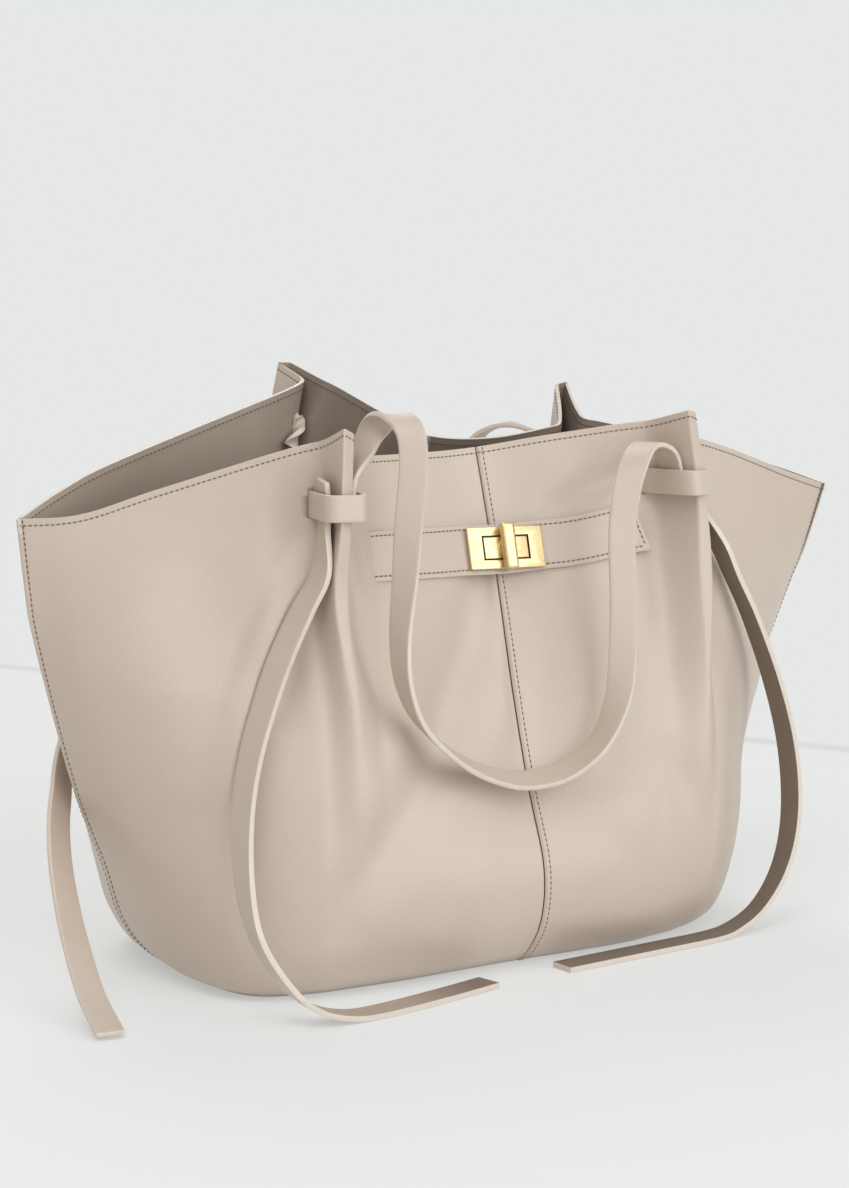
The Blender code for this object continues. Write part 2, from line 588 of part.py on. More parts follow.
def build_belt(material):
    """The belt lies on the middle of the front wall, following its curve."""
    xs = np.linspace(BELT_LEFT_X, BELT_RIGHT_X, BELT_PARTS + 1)
    knots = np.linspace(BELT_LEFT_X, BELT_RIGHT_X, len(BELT_MID_Z))
    mids = np.interp(xs, knots, BELT_MID_Z)
    rows = []
    for up_share in BELT_ROW_SHARES:
        slant = np.clip(xs / BELT_RIGHT_X, 0, 1) ** 3
        shift = BELT_SLANT * (0.5 + up_share) * slant
        rows.append([
            (x - dx, belt_depth(x - dx, z + up_share * BELT_TALL), z + up_share * BELT_TALL)
            for x, z, dx in zip(xs, mids, shift)
        ])
    mesh = grid_mesh("belt_strip", np.array(rows) * MM, False)
    belt = make_object("belt_strip", mesh, material)
    lift = belt.modifiers.new("lift", "DISPLACE")
    lift.strength = BELT_LIFT * MM
    lift.mid_level = 0.0
    solid = belt.modifiers.new("leather", "SOLIDIFY")
    solid.thickness = BELT_THICK * MM
    solid.offset = 1.0
    apply_all(belt)
    window = make_box("window_cutter", (WINDOW_WIDE, WINDOW_TALL, FRAME_WIDE), lock_matrix(0.0), material)
    cut_away(belt, window)
    bpy.data.objects.remove(window, do_unlink=True)
    smooth(belt)
    return belt


def build_lock(brass, panels):
    """A slotted frame on the belt, a hub that comes through it, and the bar that turns on the hub."""
    belt_top = BELT_LIFT + BELT_THICK
    frame = make_box(
        "lock_frame", (FRAME_WIDE, FRAME_TALL, FRAME_THICK),
        lock_matrix(belt_top + FRAME_LIFT + FRAME_THICK * 0.5), brass, METAL_EDGE,
    )
    window = make_box(
        "frame_cutter", (WINDOW_WIDE, WINDOW_TALL, FRAME_WIDE),
        lock_matrix(belt_top + FRAME_LIFT + FRAME_THICK * 0.5), brass,
    )
    cut_away(frame, window)
    bpy.data.objects.remove(window, do_unlink=True)
    hub_low = HUB_LIFT
    hub_high = belt_top + FRAME_LIFT + FRAME_THICK - HUB_SUNK
    hub = make_box(
        "lock_hub",
        (WINDOW_WIDE - 2 * LOCK_ROOM, WINDOW_TALL - 2 * LOCK_ROOM, hub_high - hub_low),
        lock_matrix((hub_low + hub_high) * 0.5), brass, METAL_EDGE,
    )
    washer_out = -(hollow_depth() + WALL_THICK + GAP * 2 + WASHER_THICK * 0.5)
    washer = make_box(
        "lock_washer", (WASHER_WIDE, WASHER_TALL, WASHER_THICK),
        lock_matrix(washer_out), brass, WASHER_EDGE,
    )
    for side_sign in (-1.0, 1.0):
        across = side_sign * POST_APART
        post_low = washer_out - WASHER_THICK * 0.5
        post_high = hub_low + POST_SOCKET
        post = make_rod(
            "post", POST_ROUND, post_high - post_low,
            lock_matrix((post_high + post_low) * 0.5, 0.0, across), brass,
        )
        join_into(hub, post)
        hole = make_rod(
            "hole", POST_ROUND + GAP, PANEL_HOLE_LONG, lock_matrix(0.0, 0.0, across), brass
        )
        cut_away(washer, hole)
        for panel in panels:
            cut_away(panel, hole)
        bpy.data.objects.remove(hole, do_unlink=True)
    bore = make_rod(
        "bore", SPINDLE_ROUND + SPINDLE_ROOM, BORE_DEEP * 2, lock_matrix(hub_high), brass
    )
    cut_away(hub, bore)
    bpy.data.objects.remove(bore, do_unlink=True)
    bar = make_box(
        "lock_turn", (BAR_WIDE, BAR_TALL, BAR_THICK),
        lock_matrix(hub_high + BAR_LIFT + BAR_THICK * 0.5), brass, BAR_EDGE,
    )
    spindle_low = hub_high - BORE_DEEP + GAP
    spindle_high = hub_high + BAR_LIFT + SPINDLE_SOCKET
    spindle = make_rod(
        "spindle", SPINDLE_ROUND, spindle_high - spindle_low,
        lock_matrix((spindle_high + spindle_low) * 0.5), brass,
    )
    join_into(bar, spindle)
    set_origin(bar, lock_matrix(hub_high).translation / MM)
    for obj in (frame, hub, washer, bar):
        smooth(obj)


def join_into(obj, other):
    """Makes the two shapes one body."""
    modifier = obj.modifiers.new("join", "BOOLEAN")
    modifier.operation = "UNION"
    modifier.solver = "EXACT"
    modifier.object = other
    apply_all(obj)
    bpy.data.objects.remove(other, do_unlink=True)


def pleat_frame(side, half, height, tall=WRAP_TALL):
    """A pleat at this height: its foot, the ways along, across and up it, and how far its faces reach."""
    number = 0 if half == "left" else 1
    grid = (FRONT_GRID if side == "front" else BACK_GRID) / MM
    first = 3 * MIDDLE_PARTS + number * (len(PLEAT_SHARES) + 1 + 4 * MIDDLE_PARTS)
    lines = grid[:, first:first + len(PLEAT_SHARES) + 2].transpose(1, 0, 2)
    above, below = height + tall * 0.5, height - tall * 0.5

    def outline(z):
        return np.array([[np.interp(z, line[:, 2], line[:, i]) for i in (0, 1)] for line in lines])

    foot, lower, upper = (0.5 * (outline(z)[0] + outline(z)[-1]) for z in (height, below, above))
    lean = (upper - lower) / tall
    way = np.array(PLEAT_WAY[side][number])
    way /= np.linalg.norm(way)
    # Across points toward the middle of the bag.
    across = np.array((-way[1], way[0]))
    if across[0] * (1 if half == "left" else -1) < 0:
        across = -across
    reach = np.zeros(3)
    for z in np.linspace(below, above, 7):
        spots = outline(z) - foot - lean * (z - height)
        spots = np.vstack([spots[:-1] + (spots[1:] - spots[:-1]) * t for t in SIDE_SHARES] + [spots[-1:]])
        spots = spots[spots @ way > END_OUT - STRAP_WIDE * 0.5]
        reach = np.maximum(reach, ((spots @ across).max(), (-spots @ across).max(), (spots @ way).max()))
    return foot, way, across, lean, reach


def beside_pleat(side, half, height, toward, out_place):
    """A strap's point laid on one side of a pleat: toward the middle of the bag, or away from it."""
    foot, way, across, _, reach = pleat_frame(side, half, height, END_TALL)
    away = (reach[0] + SIDE_ROOM if toward > 0 else reach[1] + TAIL_ROOM) + GAP + STRAP_THICK * 0.5
    spot = foot + across * toward * away + way * out_place
    return [spot[0], spot[1], height, way[0], way[1], 0.0]


def tucked_top(side, half):
    """Where a tucked tail turns: the middle of its round end, the way up it, and the way its width lies."""
    height = WRAP_Z[f"{side}_{half}"] - WRAP_TALL * 0.5
    foot, way, across, lean, reach = pleat_frame(side, half, height, STRAP_WIDE)
    spot = foot - across * (reach[1] + TUCK_ROOM + GAP + STRAP_THICK * 0.5) + way * TAIL_OUT
    up = np.array((lean[0], lean[1], 1.0))
    return np.array((spot[0], spot[1], height)), up / up[2], np.array((way[0], way[1], 0.0)), reach[1]


def build_wraps(material, panels):
    """The flat band tied round each pleat, through a slot on either side of it."""
    for side in ("front", "back"):
        for half in ("left", "right"):
            height = WRAP_Z[f"{side}_{half}"]
            foot, way, across, lean, reach = pleat_frame(side, half, height)
            # On the side toward the middle the band also goes round the end of the handle.
            near = reach[0] + STRAP_THICK + 2 * (GAP + SIDE_ROOM) + WRAP_THICK * 0.5
            far = -(reach[1] + GAP + WRAP_ROOM + WRAP_THICK * 0.5)
            if f"{side}_{half}" in TUCKED:
                beside = max(reach[1], tucked_top(side, half)[3])
                far = -(beside + STRAP_THICK + 2 * (GAP + TUCK_ROOM) + WRAP_THICK * 0.5)
            low = -WRAP_REACH_IN
            high = reach[2] + GAP + WRAP_ROOM + WRAP_THICK * 0.5
            ring = []
            for angle in np.linspace(0, 2 * math.pi, 8 * WRAP_STEPS, endpoint=False):
                c, s = math.cos(angle), math.sin(angle)
                across_share = 0.5 * math.copysign(abs(c) ** WRAP_CORNER, c)
                out_share = 0.5 * math.copysign(abs(s) ** WRAP_CORNER, s)
                across_place = 0.5 * (near + far) + (near - far) * across_share
                out_place = 0.5 * (low + high) + (high - low) * out_share
                spot = foot + across * across_place + way * out_place
                ring.append((spot[0], spot[1], height))
            ring = even_ring(np.array(ring), WRAP_STEPS)
            up = np.array((lean[0], lean[1], 1.0))
            ribbon(
                f"{side}_{half}_wrap", ring, np.tile(up, (len(ring), 1)),
                WRAP_TALL, WRAP_THICK, material, True, WRAP_EDGE,
            )
            cutter = ribbon(
                "slot_cutter", ring, np.tile(up, (len(ring), 1)), WRAP_TALL + 2 * SLOT_ROOM,
                WRAP_THICK + 2 * SLOT_ROOM, material, True, SLOT_ROOM,
            )
            cut_away(panels[side, half], cutter)
            bpy.data.objects.remove(cutter, do_unlink=True)


def even_ring(ring, steps):
    closed = np.vstack([ring, ring[:1]])
    return even_steps(closed, steps)[:-1]


def wall_trees():
    """The outer faces of both walls, to measure clearances from."""
    trees = []
    for grid, flip in ((FRONT_GRID, False), (BACK_GRID, True)):
        mesh = grid_mesh("measure", grid, flip)
        trees.append(BVHTree.FromPolygons(
            [vert.co.copy() for vert in mesh.vertices], [list(face.vertices) for face in mesh.polygons]
        ))
        bpy.data.meshes.remove(mesh)
    return trees


def rest_on_walls(middle, ways, trees, free_below):
    """Moves a strap's middle line out where its edges would come closer to the wall than the gap."""
    middle = middle.copy()
    held = middle[:, 2] > free_below
    for _ in range(REST_ROUNDS):
        ahead = np.gradient(middle, axis=0)
        ahead /= np.linalg.norm(ahead, axis=1)[:, None]
        wide = ways - ahead * (ways * ahead).sum(axis=1)[:, None]
        wide /= np.linalg.norm(wide, axis=1)[:, None]
        thick = np.cross(ahead, wide)
        push = np.zeros_like(middle)
        for i, point in enumerate(middle):
            for a, b in ((1, 1), (1, -1), (-1, 1), (-1, -1), (0, 1), (0, -1)):
                corner = point + wide[i] * a * STRAP_WIDE * 0.5 + thick[i] * b * STRAP_THICK * 0.5
                for tree in trees:
                    spot, normal, _, distance = tree.find_nearest(Vector(corner) * MM)
                    if distance > REST_REACH * MM:
                        continue
                    clear = (Vector(corner) * MM - spot).dot(normal) / MM
                    # Past a wall's own edge the nearest point is the edge, and there the face says nothing.
                    if distance / MM - abs(clear) > EDGE_SLACK:
                        continue
                    short = REST_GAP - clear
                    if short > np.linalg.norm(push[i]):
                        push[i] = np.array(normal) * short
        floor = FLOOR_LIFT + (np.abs(wide[:, 2]) * STRAP_WIDE + np.abs(thick[:, 2]) * STRAP_THICK) * 0.5
        push[held] = (0.0, 0.0, 0.0)
        middle += push
        middle[:, 2] = np.maximum(middle[:, 2], floor)
    return middle


def handle_points(side):
    """The handle's points, with both ends laid against the inner sides of the pleats."""
    points = [list(point) for point in HANDLES[side]]
    for half, spots in (("left", (0, 1)), ("right", (-1, -2))):
        height = WRAP_Z[f"{side}_{half}"]
        for spot, rise in zip(spots, (-END_LOW, END_HIGH)):
            points[spot] = beside_pleat(side, half, height + rise, 1.0, END_OUT)
    return points


def build_handles(material):
    """Each handle is one strap: a short end rises from each wrap, and the loop swings between them."""
    for side in HANDLES:
        sign = -1.0 if side == "front" else 1.0
        middle, ways = strap_path(handle_points(side), HANDLE_STEPS)
        tops = handle_tops(side)
        normal = Vector((tops[0][1] - tops[1][1], tops[1][0] - tops[0][0], 0)).normalized() * sign
        spot = Vector(tops[0]) * MM
        for piece in ("handle", "left_handle_end", "right_handle_end"):
            strap = ribbon(f"{side}_{piece}", middle, ways, STRAP_WIDE, STRAP_THICK, material)
            if piece == "handle":
                keep_side(strap, spot + normal * GAP * 0.5 * MM, -normal)
                set_origin(strap, handle_pivot(side))
            else:
                keep_side(strap, spot - normal * GAP * 0.5 * MM, normal)
                toward = 1.0 if piece.startswith("left") else -1.0
                keep_side(strap, (0, 0, 0), (toward, 0, 0))
            smooth(strap)


def handle_tops(side):
    """The two highest points of the handle's middle line, where it turns over."""
    middle = strap_path(handle_points(side), HANDLE_STEPS)[0]
    half = len(middle) // 2
    left = middle[:half][np.argmax(middle[:half, 2])]
    right = middle[half:][np.argmax(middle[half:, 2])]
    return np.array(left), np.array(right)


def handle_pivot(side):
    """A point on the line that the handle swings about, just over both bends."""
    left, right = handle_tops(side)
    return (left + right) * 0.5 + np.array((0, 0, STRAP_THICK * 0.5 + PIVOT_LIFT))


def build_tails(material):
    """Each tail hangs from the outer side of its pleat and ends on the floor."""
    trees = wall_trees()
    for place, points in TAILS.items():
        side, half = place.split("_")
        points = [list(point) for point in points]
        if place in TUCKED:
            pivot, up, way, _ = tucked_top(side, half)
            low = pivot - up * STRAP_WIDE * 0.5
            middle, ways = strap_path([[*pivot, *way], [*low, *way]] + points, TAIL_STEPS)
            middle = rest_on_walls(middle, ways, trees, low[2] - GAP)
            turns = np.radians(ROUND_TURNS)
            end = pivot + np.outer(np.sin(turns), up) * STRAP_WIDE * 0.5
            wide = np.concatenate([np.cos(turns), np.ones(len(middle))]) * STRAP_WIDE
            middle = np.vstack([end, middle])
            ways = np.vstack([np.tile(way, (len(end), 1)), ways])
            tail = ribbon(f"{place}_tail", middle, ways, wide, STRAP_THICK, material)
        else:
            height = WRAP_Z[place]
            top = beside_pleat(side, half, height - TAIL_HIDDEN, -1.0, TAIL_OUT)
            middle, ways = strap_path([top] + points, TAIL_STEPS)
            middle = rest_on_walls(middle, ways, trees, height)
            tail = ribbon(f"{place}_tail", middle, ways, STRAP_WIDE, STRAP_THICK, material)
            keep_side(tail, (0, 0, (height - WRAP_TALL * 0.5 - GAP) * MM), (0, 0, 1))
            pivot = loose_pivot(tail)
        smooth(tail)
        set_origin(tail, pivot)


def loose_pivot(tail):
    """The corner of the tail's cut top that lies farthest out, where it swings from."""
    corners = np.array([vert.co[:] for vert in tail.data.vertices]) / MM
    top = corners[corners[:, 2] > corners[:, 2].max() - GAP]
    return top[np.argmax(top[:, :2] @ np.array(LOOSE_AWAY))]


def main():
    clear_scene()
    leather = make_material("leather", LEATHER, 0.5, 0.0)
    strap = make_material("strap_leather", STRAP_COLOUR, 0.45, 0.0)
    brass = make_material("brass", BRASS, 0.28, 1.0)
    board = make_material("board", BOARD, 0.8, 0.0)
    panels = build_walls(leather)
    build_base(leather, board, panels)
    build_wraps(strap, panels)
    build_belt(leather)
    build_lock(brass, (panels["front", "left"], panels["front", "right"]))
    build_handles(strap)
    build_tails(strap)


main()
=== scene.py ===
"""Soft leather shopper bag, dressed for a picture.

Each section below makes one piece of the bag, in the order in which it is put together."""

import math

import bpy
import numpy as np
from mathutils import Matrix, Vector
from mathutils.bvhtree import BVHTree
from mathutils.noise import noise as noise_at


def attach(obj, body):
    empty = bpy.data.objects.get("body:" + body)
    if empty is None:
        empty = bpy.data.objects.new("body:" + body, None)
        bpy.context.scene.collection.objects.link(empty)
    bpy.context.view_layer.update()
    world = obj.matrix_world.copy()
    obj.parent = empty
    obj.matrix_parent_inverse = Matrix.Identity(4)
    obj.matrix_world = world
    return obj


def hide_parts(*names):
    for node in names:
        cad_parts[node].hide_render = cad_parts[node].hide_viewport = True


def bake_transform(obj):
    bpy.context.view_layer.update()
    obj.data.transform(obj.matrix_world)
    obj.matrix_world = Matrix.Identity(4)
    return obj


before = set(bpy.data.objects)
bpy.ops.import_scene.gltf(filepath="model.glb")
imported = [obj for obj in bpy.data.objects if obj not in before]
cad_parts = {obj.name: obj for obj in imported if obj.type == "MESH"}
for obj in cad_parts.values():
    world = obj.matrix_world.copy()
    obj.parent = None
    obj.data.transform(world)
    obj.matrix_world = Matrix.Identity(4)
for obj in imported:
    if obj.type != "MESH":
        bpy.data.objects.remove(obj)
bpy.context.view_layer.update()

# The room: a pale floor that ends at a pale wall, soft light from the front on the right,
# from above on the left and from behind, and the camera at the picture's height and angle.
CAMERA_PLACE = (-0.7083, -1.2815, 0.3878)
CAMERA_TURN = math.radians(28.2975)
CAMERA_DIP = math.radians(7.5464)
CAMERA_ROLL = math.radians(0.4433)
CAMERA_LENS = 52.83
CAMERA_SENSOR = 24.0
FLOOR_RADIUS = 3.2
FLOOR_COLOUR = (0.9, 0.905, 0.9)
WALL_COLOUR = (0.786, 0.807, 0.799)
# The floor meets the wall this far off along this way, in a soft, slightly darker line of painted shade.
# Up to there, half of what the camera sees of the floor is the wall's even light.
WALL_WAY = (0.8268, 0.5625, 0.0)
WALL_FAR = 0.628
WALL_BLUR = 0.012
FLOOR_GLOW = 0.5
CORNER_SHADE_COLOUR = (0.7, 0.72, 0.715)
CORNER_SHADE_WIDE = 0.02
ROOM_LIGHT_COLOUR = (1.0, 0.965, 0.925)
ROOM_LIGHT_POWER = 0.42
LAMP_AIM = Vector((0, 0, 0.15))
# Each lamp: its name, place, size, power and colour.
LAMPS = (
    ("key_lamp", (1.02, -2.79, 1.35), 3.2, 64.0, (0.905, 0.957, 1.0)),
    ("left_lamp", (-1.41, -1.18, 2.77), 1.8, 28.0, (0.97, 0.985, 1.0)),
    ("back_lamp", (0.3, 2.04, 2.6), 1.8, 27.0, (1.0, 1.0, 1.0)),
)

ahead = Vector((
    math.sin(CAMERA_TURN) * math.cos(CAMERA_DIP),
    math.cos(CAMERA_TURN) * math.cos(CAMERA_DIP),
    -math.sin(CAMERA_DIP),
))
rightward = ahead.cross(Vector((0, 0, 1))).normalized()
upward = rightward.cross(ahead)
turned_right = rightward * math.cos(CAMERA_ROLL) + upward * math.sin(CAMERA_ROLL)
turned_up = upward * math.cos(CAMERA_ROLL) - rightward * math.sin(CAMERA_ROLL)
bpy.ops.object.camera_add()
camera = bpy.context.object
camera.name = "camera"
camera.matrix_world = Matrix.Translation(CAMERA_PLACE) @ Matrix(
    (turned_right, turned_up, -ahead)
).transposed().to_4x4()
camera.data.lens = CAMERA_LENS
camera.data.sensor_fit = "VERTICAL"
camera.data.sensor_height = CAMERA_SENSOR
bpy.context.scene.camera = camera


def new_material(name):
    """A material, its node tree and its shader."""
    material = bpy.data.materials.new(name)
    material.use_nodes = True
    return material, material.node_tree, material.node_tree.nodes["Principled BSDF"]


def fill(tree, socket, value):
    """Feeds a socket from another one, or sets it to a number or a colour."""
    if isinstance(value, bpy.types.NodeSocket):
        tree.links.new(value, socket)
    elif isinstance(value, (int, float)):
        socket.default_value = value
    else:
        socket.default_value = (*value, 1)


def combined(tree, operation, *values):
    """The result of a Math node on sockets or plain numbers."""
    node = tree.nodes.new("ShaderNodeMath")
    node.operation = operation
    for socket, value in zip(node.inputs, values):
        fill(tree, socket, value)
    return node.outputs["Value"]


def ranged(tree, source, low, high, to_low=0.0, to_high=1.0, soft=False):
    """A number from a socket, stretched from one range to another."""
    node = tree.nodes.new("ShaderNodeMapRange")
    node.interpolation_type = "SMOOTHSTEP" if soft else "LINEAR"
    for socket, value in zip(("From Min", "From Max", "To Min", "To Max"), (low, high, to_low, to_high)):
        node.inputs[socket].default_value = value
    tree.links.new(source, node.inputs["Value"])
    return node.outputs["Result"]


def blended(tree, kind, share, first, second):
    """Two colours mixed. Each is a socket or a plain colour, and so is the share of the second."""
    node = tree.nodes.new("ShaderNodeMix")
    node.data_type = "RGBA"
    node.blend_type = kind
    for socket, value in ((0, share), (6, first), (7, second)):
        fill(tree, node.inputs[socket], value)
    return node.outputs[2]


def looked_at(tree):
    """1 where a ray comes from the camera or is mirrored or let through, and 0 where it only lights."""
    rays = tree.nodes.new("ShaderNodeLightPath").outputs
    mirrored = combined(tree, "MAXIMUM", rays["Is Camera Ray"], rays["Is Glossy Ray"])
    return combined(tree, "MAXIMUM", mirrored, rays["Is Transmission Ray"])


def shown_instead(tree, share, lit, shown, output):
    """Ends a tree in its lit shader, with the shown one in its place by this share."""
    mix = tree.nodes.new("ShaderNodeMixShader")
    for socket, source in zip(mix.inputs, (share, lit, shown)):
        tree.links.new(source, socket)
    tree.links.new(mix.outputs["Shader"], tree.nodes[output].inputs["Surface"])


bpy.ops.mesh.primitive_circle_add(vertices=96, radius=FLOOR_RADIUS, fill_type="NGON")
floor = bpy.context.object
floor.name = "floor"
floor_material, tree, shader = new_material("floor")
shader.inputs["Base Color"].default_value = (*FLOOR_COLOUR, 1)
shader.inputs["Roughness"].default_value = 0.7
shader.inputs["Specular IOR Level"].default_value = 0.2
reach = tree.nodes.new("ShaderNodeVectorMath")
reach.operation = "DOT_PRODUCT"
reach.inputs[1].default_value = WALL_WAY
tree.links.new(tree.nodes.new("ShaderNodeTexCoord").outputs["Object"], reach.inputs[0])
# Painted shade: a soft darker line along the foot of the wall, where floor and wall meet.
off_foot = combined(tree, "SUBTRACT", reach.outputs["Value"], WALL_FAR + CORNER_SHADE_WIDE / 2)
corner_shade_share = ranged(tree, combined(tree, "ABSOLUTE", off_foot), 0.0, CORNER_SHADE_WIDE, 1.0, 0.0, soft=True)
far_wall = tree.nodes.new("ShaderNodeEmission")
tree.links.new(blended(tree, "MIX", corner_shade_share, WALL_COLOUR, CORNER_SHADE_COLOUR), far_wall.inputs["Color"])
wall_share = ranged(tree, reach.outputs["Value"], WALL_FAR - WALL_BLUR, WALL_FAR, FLOOR_GLOW, 1.0, soft=True)
wall_share = combined(tree, "MULTIPLY", wall_share, looked_at(tree))
shown_instead(tree, wall_share, shader.outputs["BSDF"], far_wall.outputs["Emission"], "Material Output")
floor.data.materials.append(floor_material)

world = bpy.data.worlds.new("studio")
bpy.context.scene.world = world
world.use_nodes = True
tree = world.node_tree
room_light = tree.nodes["Background"]
room_light.inputs["Color"].default_value = (*ROOM_LIGHT_COLOUR, 1)
room_light.inputs["Strength"].default_value = ROOM_LIGHT_POWER
room_wall = tree.nodes.new("ShaderNodeBackground")
room_wall.inputs["Color"].default_value = (*WALL_COLOUR, 1)
shown_instead(tree, looked_at(tree), room_light.outputs[0], room_wall.outputs[0], "World Output")

for lamp_name, lamp_place, lamp_size, lamp_power, lamp_colour in LAMPS:
    bpy.ops.object.light_add(type="AREA", location=lamp_place)
    lamp = bpy.context.object
    lamp.name = lamp_name
    lamp.data.size = lamp_size
    lamp.data.energy = lamp_power
    lamp.data.color = lamp_colour
    lamp.rotation_euler = (LAMP_AIM - lamp.location).to_track_quat("-Z", "Y").to_euler()

bpy.context.scene.view_settings.view_transform = "Standard"

# Leather: smooth calf with a satin finish and a very fine grain. The colour wanders a
# little over a hide. Its flesh side, which shows inside the bag and on the back of the
# straps, is browner and dull. Painted shade darkens it away from the left wing, for the
# shadowed inside of the bag.
LEATHER_COLOUR = (0.585, 0.487, 0.405)
LEATHER_WARM = (0.53, 0.425, 0.34)
FLESH_COLOUR = (0.49, 0.4, 0.325)
FLESH_WARM = (0.36, 0.28, 0.225)
# Painted shade on the flesh side: the colour it is darkened by, and where along X this begins and is full.
FLESH_PAINTED_SHADE = (0.5, 0.48, 0.46)
SHADE_FROM_X, SHADE_TO_X = -0.1, -0.05
EDGE_PAINT_COLOUR = (0.72, 0.625, 0.54)
THREAD_AND_SHADE_COLOUR = (0.19, 0.135, 0.1)
HOLE_SHADE_COLOUR = (0.16, 0.12, 0.095)
WARM_SHARE = 0.35
TONE_SHARE = 0.09
COAT_ROUGH = 0.6
# How closely the grain's pebbles, its pores, the clouds of colour and a rubbed gloss lie.
PEBBLES, PORES, CLOUDS, RUBS = 1150.0, 700.0, 11.0, 260.0
RELIEF_HIGH = 0.0002


def new_group(name, inputs, outputs):
    """A shader node group with these number or vector sockets, ready to be filled."""
    group = bpy.data.node_groups.new(name, "ShaderNodeTree")
    kinds = {"number": "NodeSocketFloat", "vector": "NodeSocketVector"}
    for way, sockets in (("INPUT", inputs), ("OUTPUT", outputs)):
        for socket, kind in sockets:
            group.interface.new_socket(name=socket, in_out=way, socket_type=kinds[kind])
    return group, group.nodes.new("NodeGroupInput"), group.nodes.new("NodeGroupOutput")


def noise(tree, place, scale, detail=3.0, roughness=0.5):
    """A cloudy number that changes over the surface."""
    node = tree.nodes.new("ShaderNodeTexNoise")
    for socket, value in (("Scale", scale), ("Detail", detail), ("Roughness", roughness)):
        node.inputs[socket].default_value = value
    tree.links.new(place, node.inputs["Vector"])
    return node.outputs["Fac"]


def raised(tree, shader, height, strength):
    """Gives a shader its relief from a height."""
    bump = tree.nodes.new("ShaderNodeBump")
    bump.inputs["Strength"].default_value = strength
    bump.inputs["Distance"].default_value = RELIEF_HIGH
    tree.links.new(height, bump.inputs["Height"])
    tree.links.new(bump.outputs["Normal"], shader.inputs["Normal"])


grain_group, grain_in, grain_out = new_group(
    "hide_grain", [("Place", "vector")], [("Height", "number"), ("Tone", "number"), ("Wander", "number")]
)
grain_place = grain_in.outputs["Place"]
pebbles = grain_group.nodes.new("ShaderNodeTexVoronoi")
pebbles.inputs["Scale"].default_value = PEBBLES
grain_group.links.new(grain_place, pebbles.inputs["Vector"])
pores = noise(grain_group, grain_place, PORES, 4.0, 0.6)
clouds = noise(grain_group, grain_place, CLOUDS)
for socket, result in (
    ("Height", combined(grain_group, "MULTIPLY_ADD", pebbles.outputs["Distance"], 0.5, pores)),
    ("Tone", ranged(grain_group, pores, 0.3, 0.7)),
    ("Wander", ranged(grain_group, clouds, 0.34, 0.66)),
):
    grain_group.links.new(result, grain_out.inputs[socket])


def hide(name, colour, warm, rough, bump, coat=0.0, deep=None):
    """Leather in two near colours, with the grain in its bump and its roughness. It may be darkened along X
    by painted shade.
    """
    material, tree, shader = new_material(name)
    place = tree.nodes.new("ShaderNodeTexCoord").outputs["Object"]
    grain = tree.nodes.new("ShaderNodeGroup")
    grain.node_tree = grain_group
    tree.links.new(place, grain.inputs["Place"])
    warmer = tuple((1 - WARM_SHARE) * c + WARM_SHARE * w for c, w in zip(colour, warm))
    toned = blended(tree, "MIX", grain.outputs["Wander"], colour, warmer)
    tone_share = ranged(tree, grain.outputs["Tone"], 0, 1, 0.0, TONE_SHARE)
    toned = blended(tree, "MULTIPLY", tone_share, toned, warm)
    # Painted shade: darker along X, for the shadowed inside of the bag.
    if deep:
        parts = tree.nodes.new("ShaderNodeSeparateXYZ")
        tree.links.new(place, parts.inputs["Vector"])
        toned = blended(tree, "MULTIPLY", ranged(tree, parts.outputs["X"], SHADE_FROM_X, SHADE_TO_X), toned, deep)
    tree.links.new(toned, shader.inputs["Base Color"])
    dullness = ranged(tree, grain.outputs["Tone"], 0, 1, rough - 0.05, rough + 0.06)
    tree.links.new(dullness, shader.inputs["Roughness"])
    shader.inputs["Coat Weight"].default_value = coat
    shader.inputs["Coat Roughness"].default_value = COAT_ROUGH
    raised(tree, shader, grain.outputs["Height"], bump)
    return material


def plain(name, colour, rough, metallic=0.0):
    """One even colour with a faint unevenness in its gloss, for paint, thread, and the painted shade of
    needle holes and of the lock's groove.
    """
    material, tree, shader = new_material(name)
    rub = noise(tree, tree.nodes.new("ShaderNodeTexCoord").outputs["Object"], RUBS)
    shade = tuple(c * 0.94 for c in colour)
    toned = blended(tree, "MIX", ranged(tree, rub, 0.3, 0.7), colour, shade)
    tree.links.new(toned, shader.inputs["Base Color"])
    tree.links.new(ranged(tree, rub, 0.3, 0.7, rough - 0.06, rough + 0.06), shader.inputs["Roughness"])
    shader.inputs["Metallic"].default_value = metallic
    return material


leather = hide("leather", LEATHER_COLOUR, LEATHER_WARM, rough=0.42, bump=0.2, coat=0.6)
flesh = hide("flesh_side", FLESH_COLOUR, FLESH_WARM, rough=0.72, bump=0.5, deep=FLESH_PAINTED_SHADE)
edge_paint = plain("edge_paint", EDGE_PAINT_COLOUR, rough=0.4)
# The thread's own brown, darkened by painted shade for the groove that it lies in.
thread = plain("thread", THREAD_AND_SHADE_COLOUR, rough=0.65)
# Needle holes are dark discs of painted shade laid on the face.
needle_hole_shade = plain("needle_hole_shade", HOLE_SHADE_COLOUR, rough=0.9)

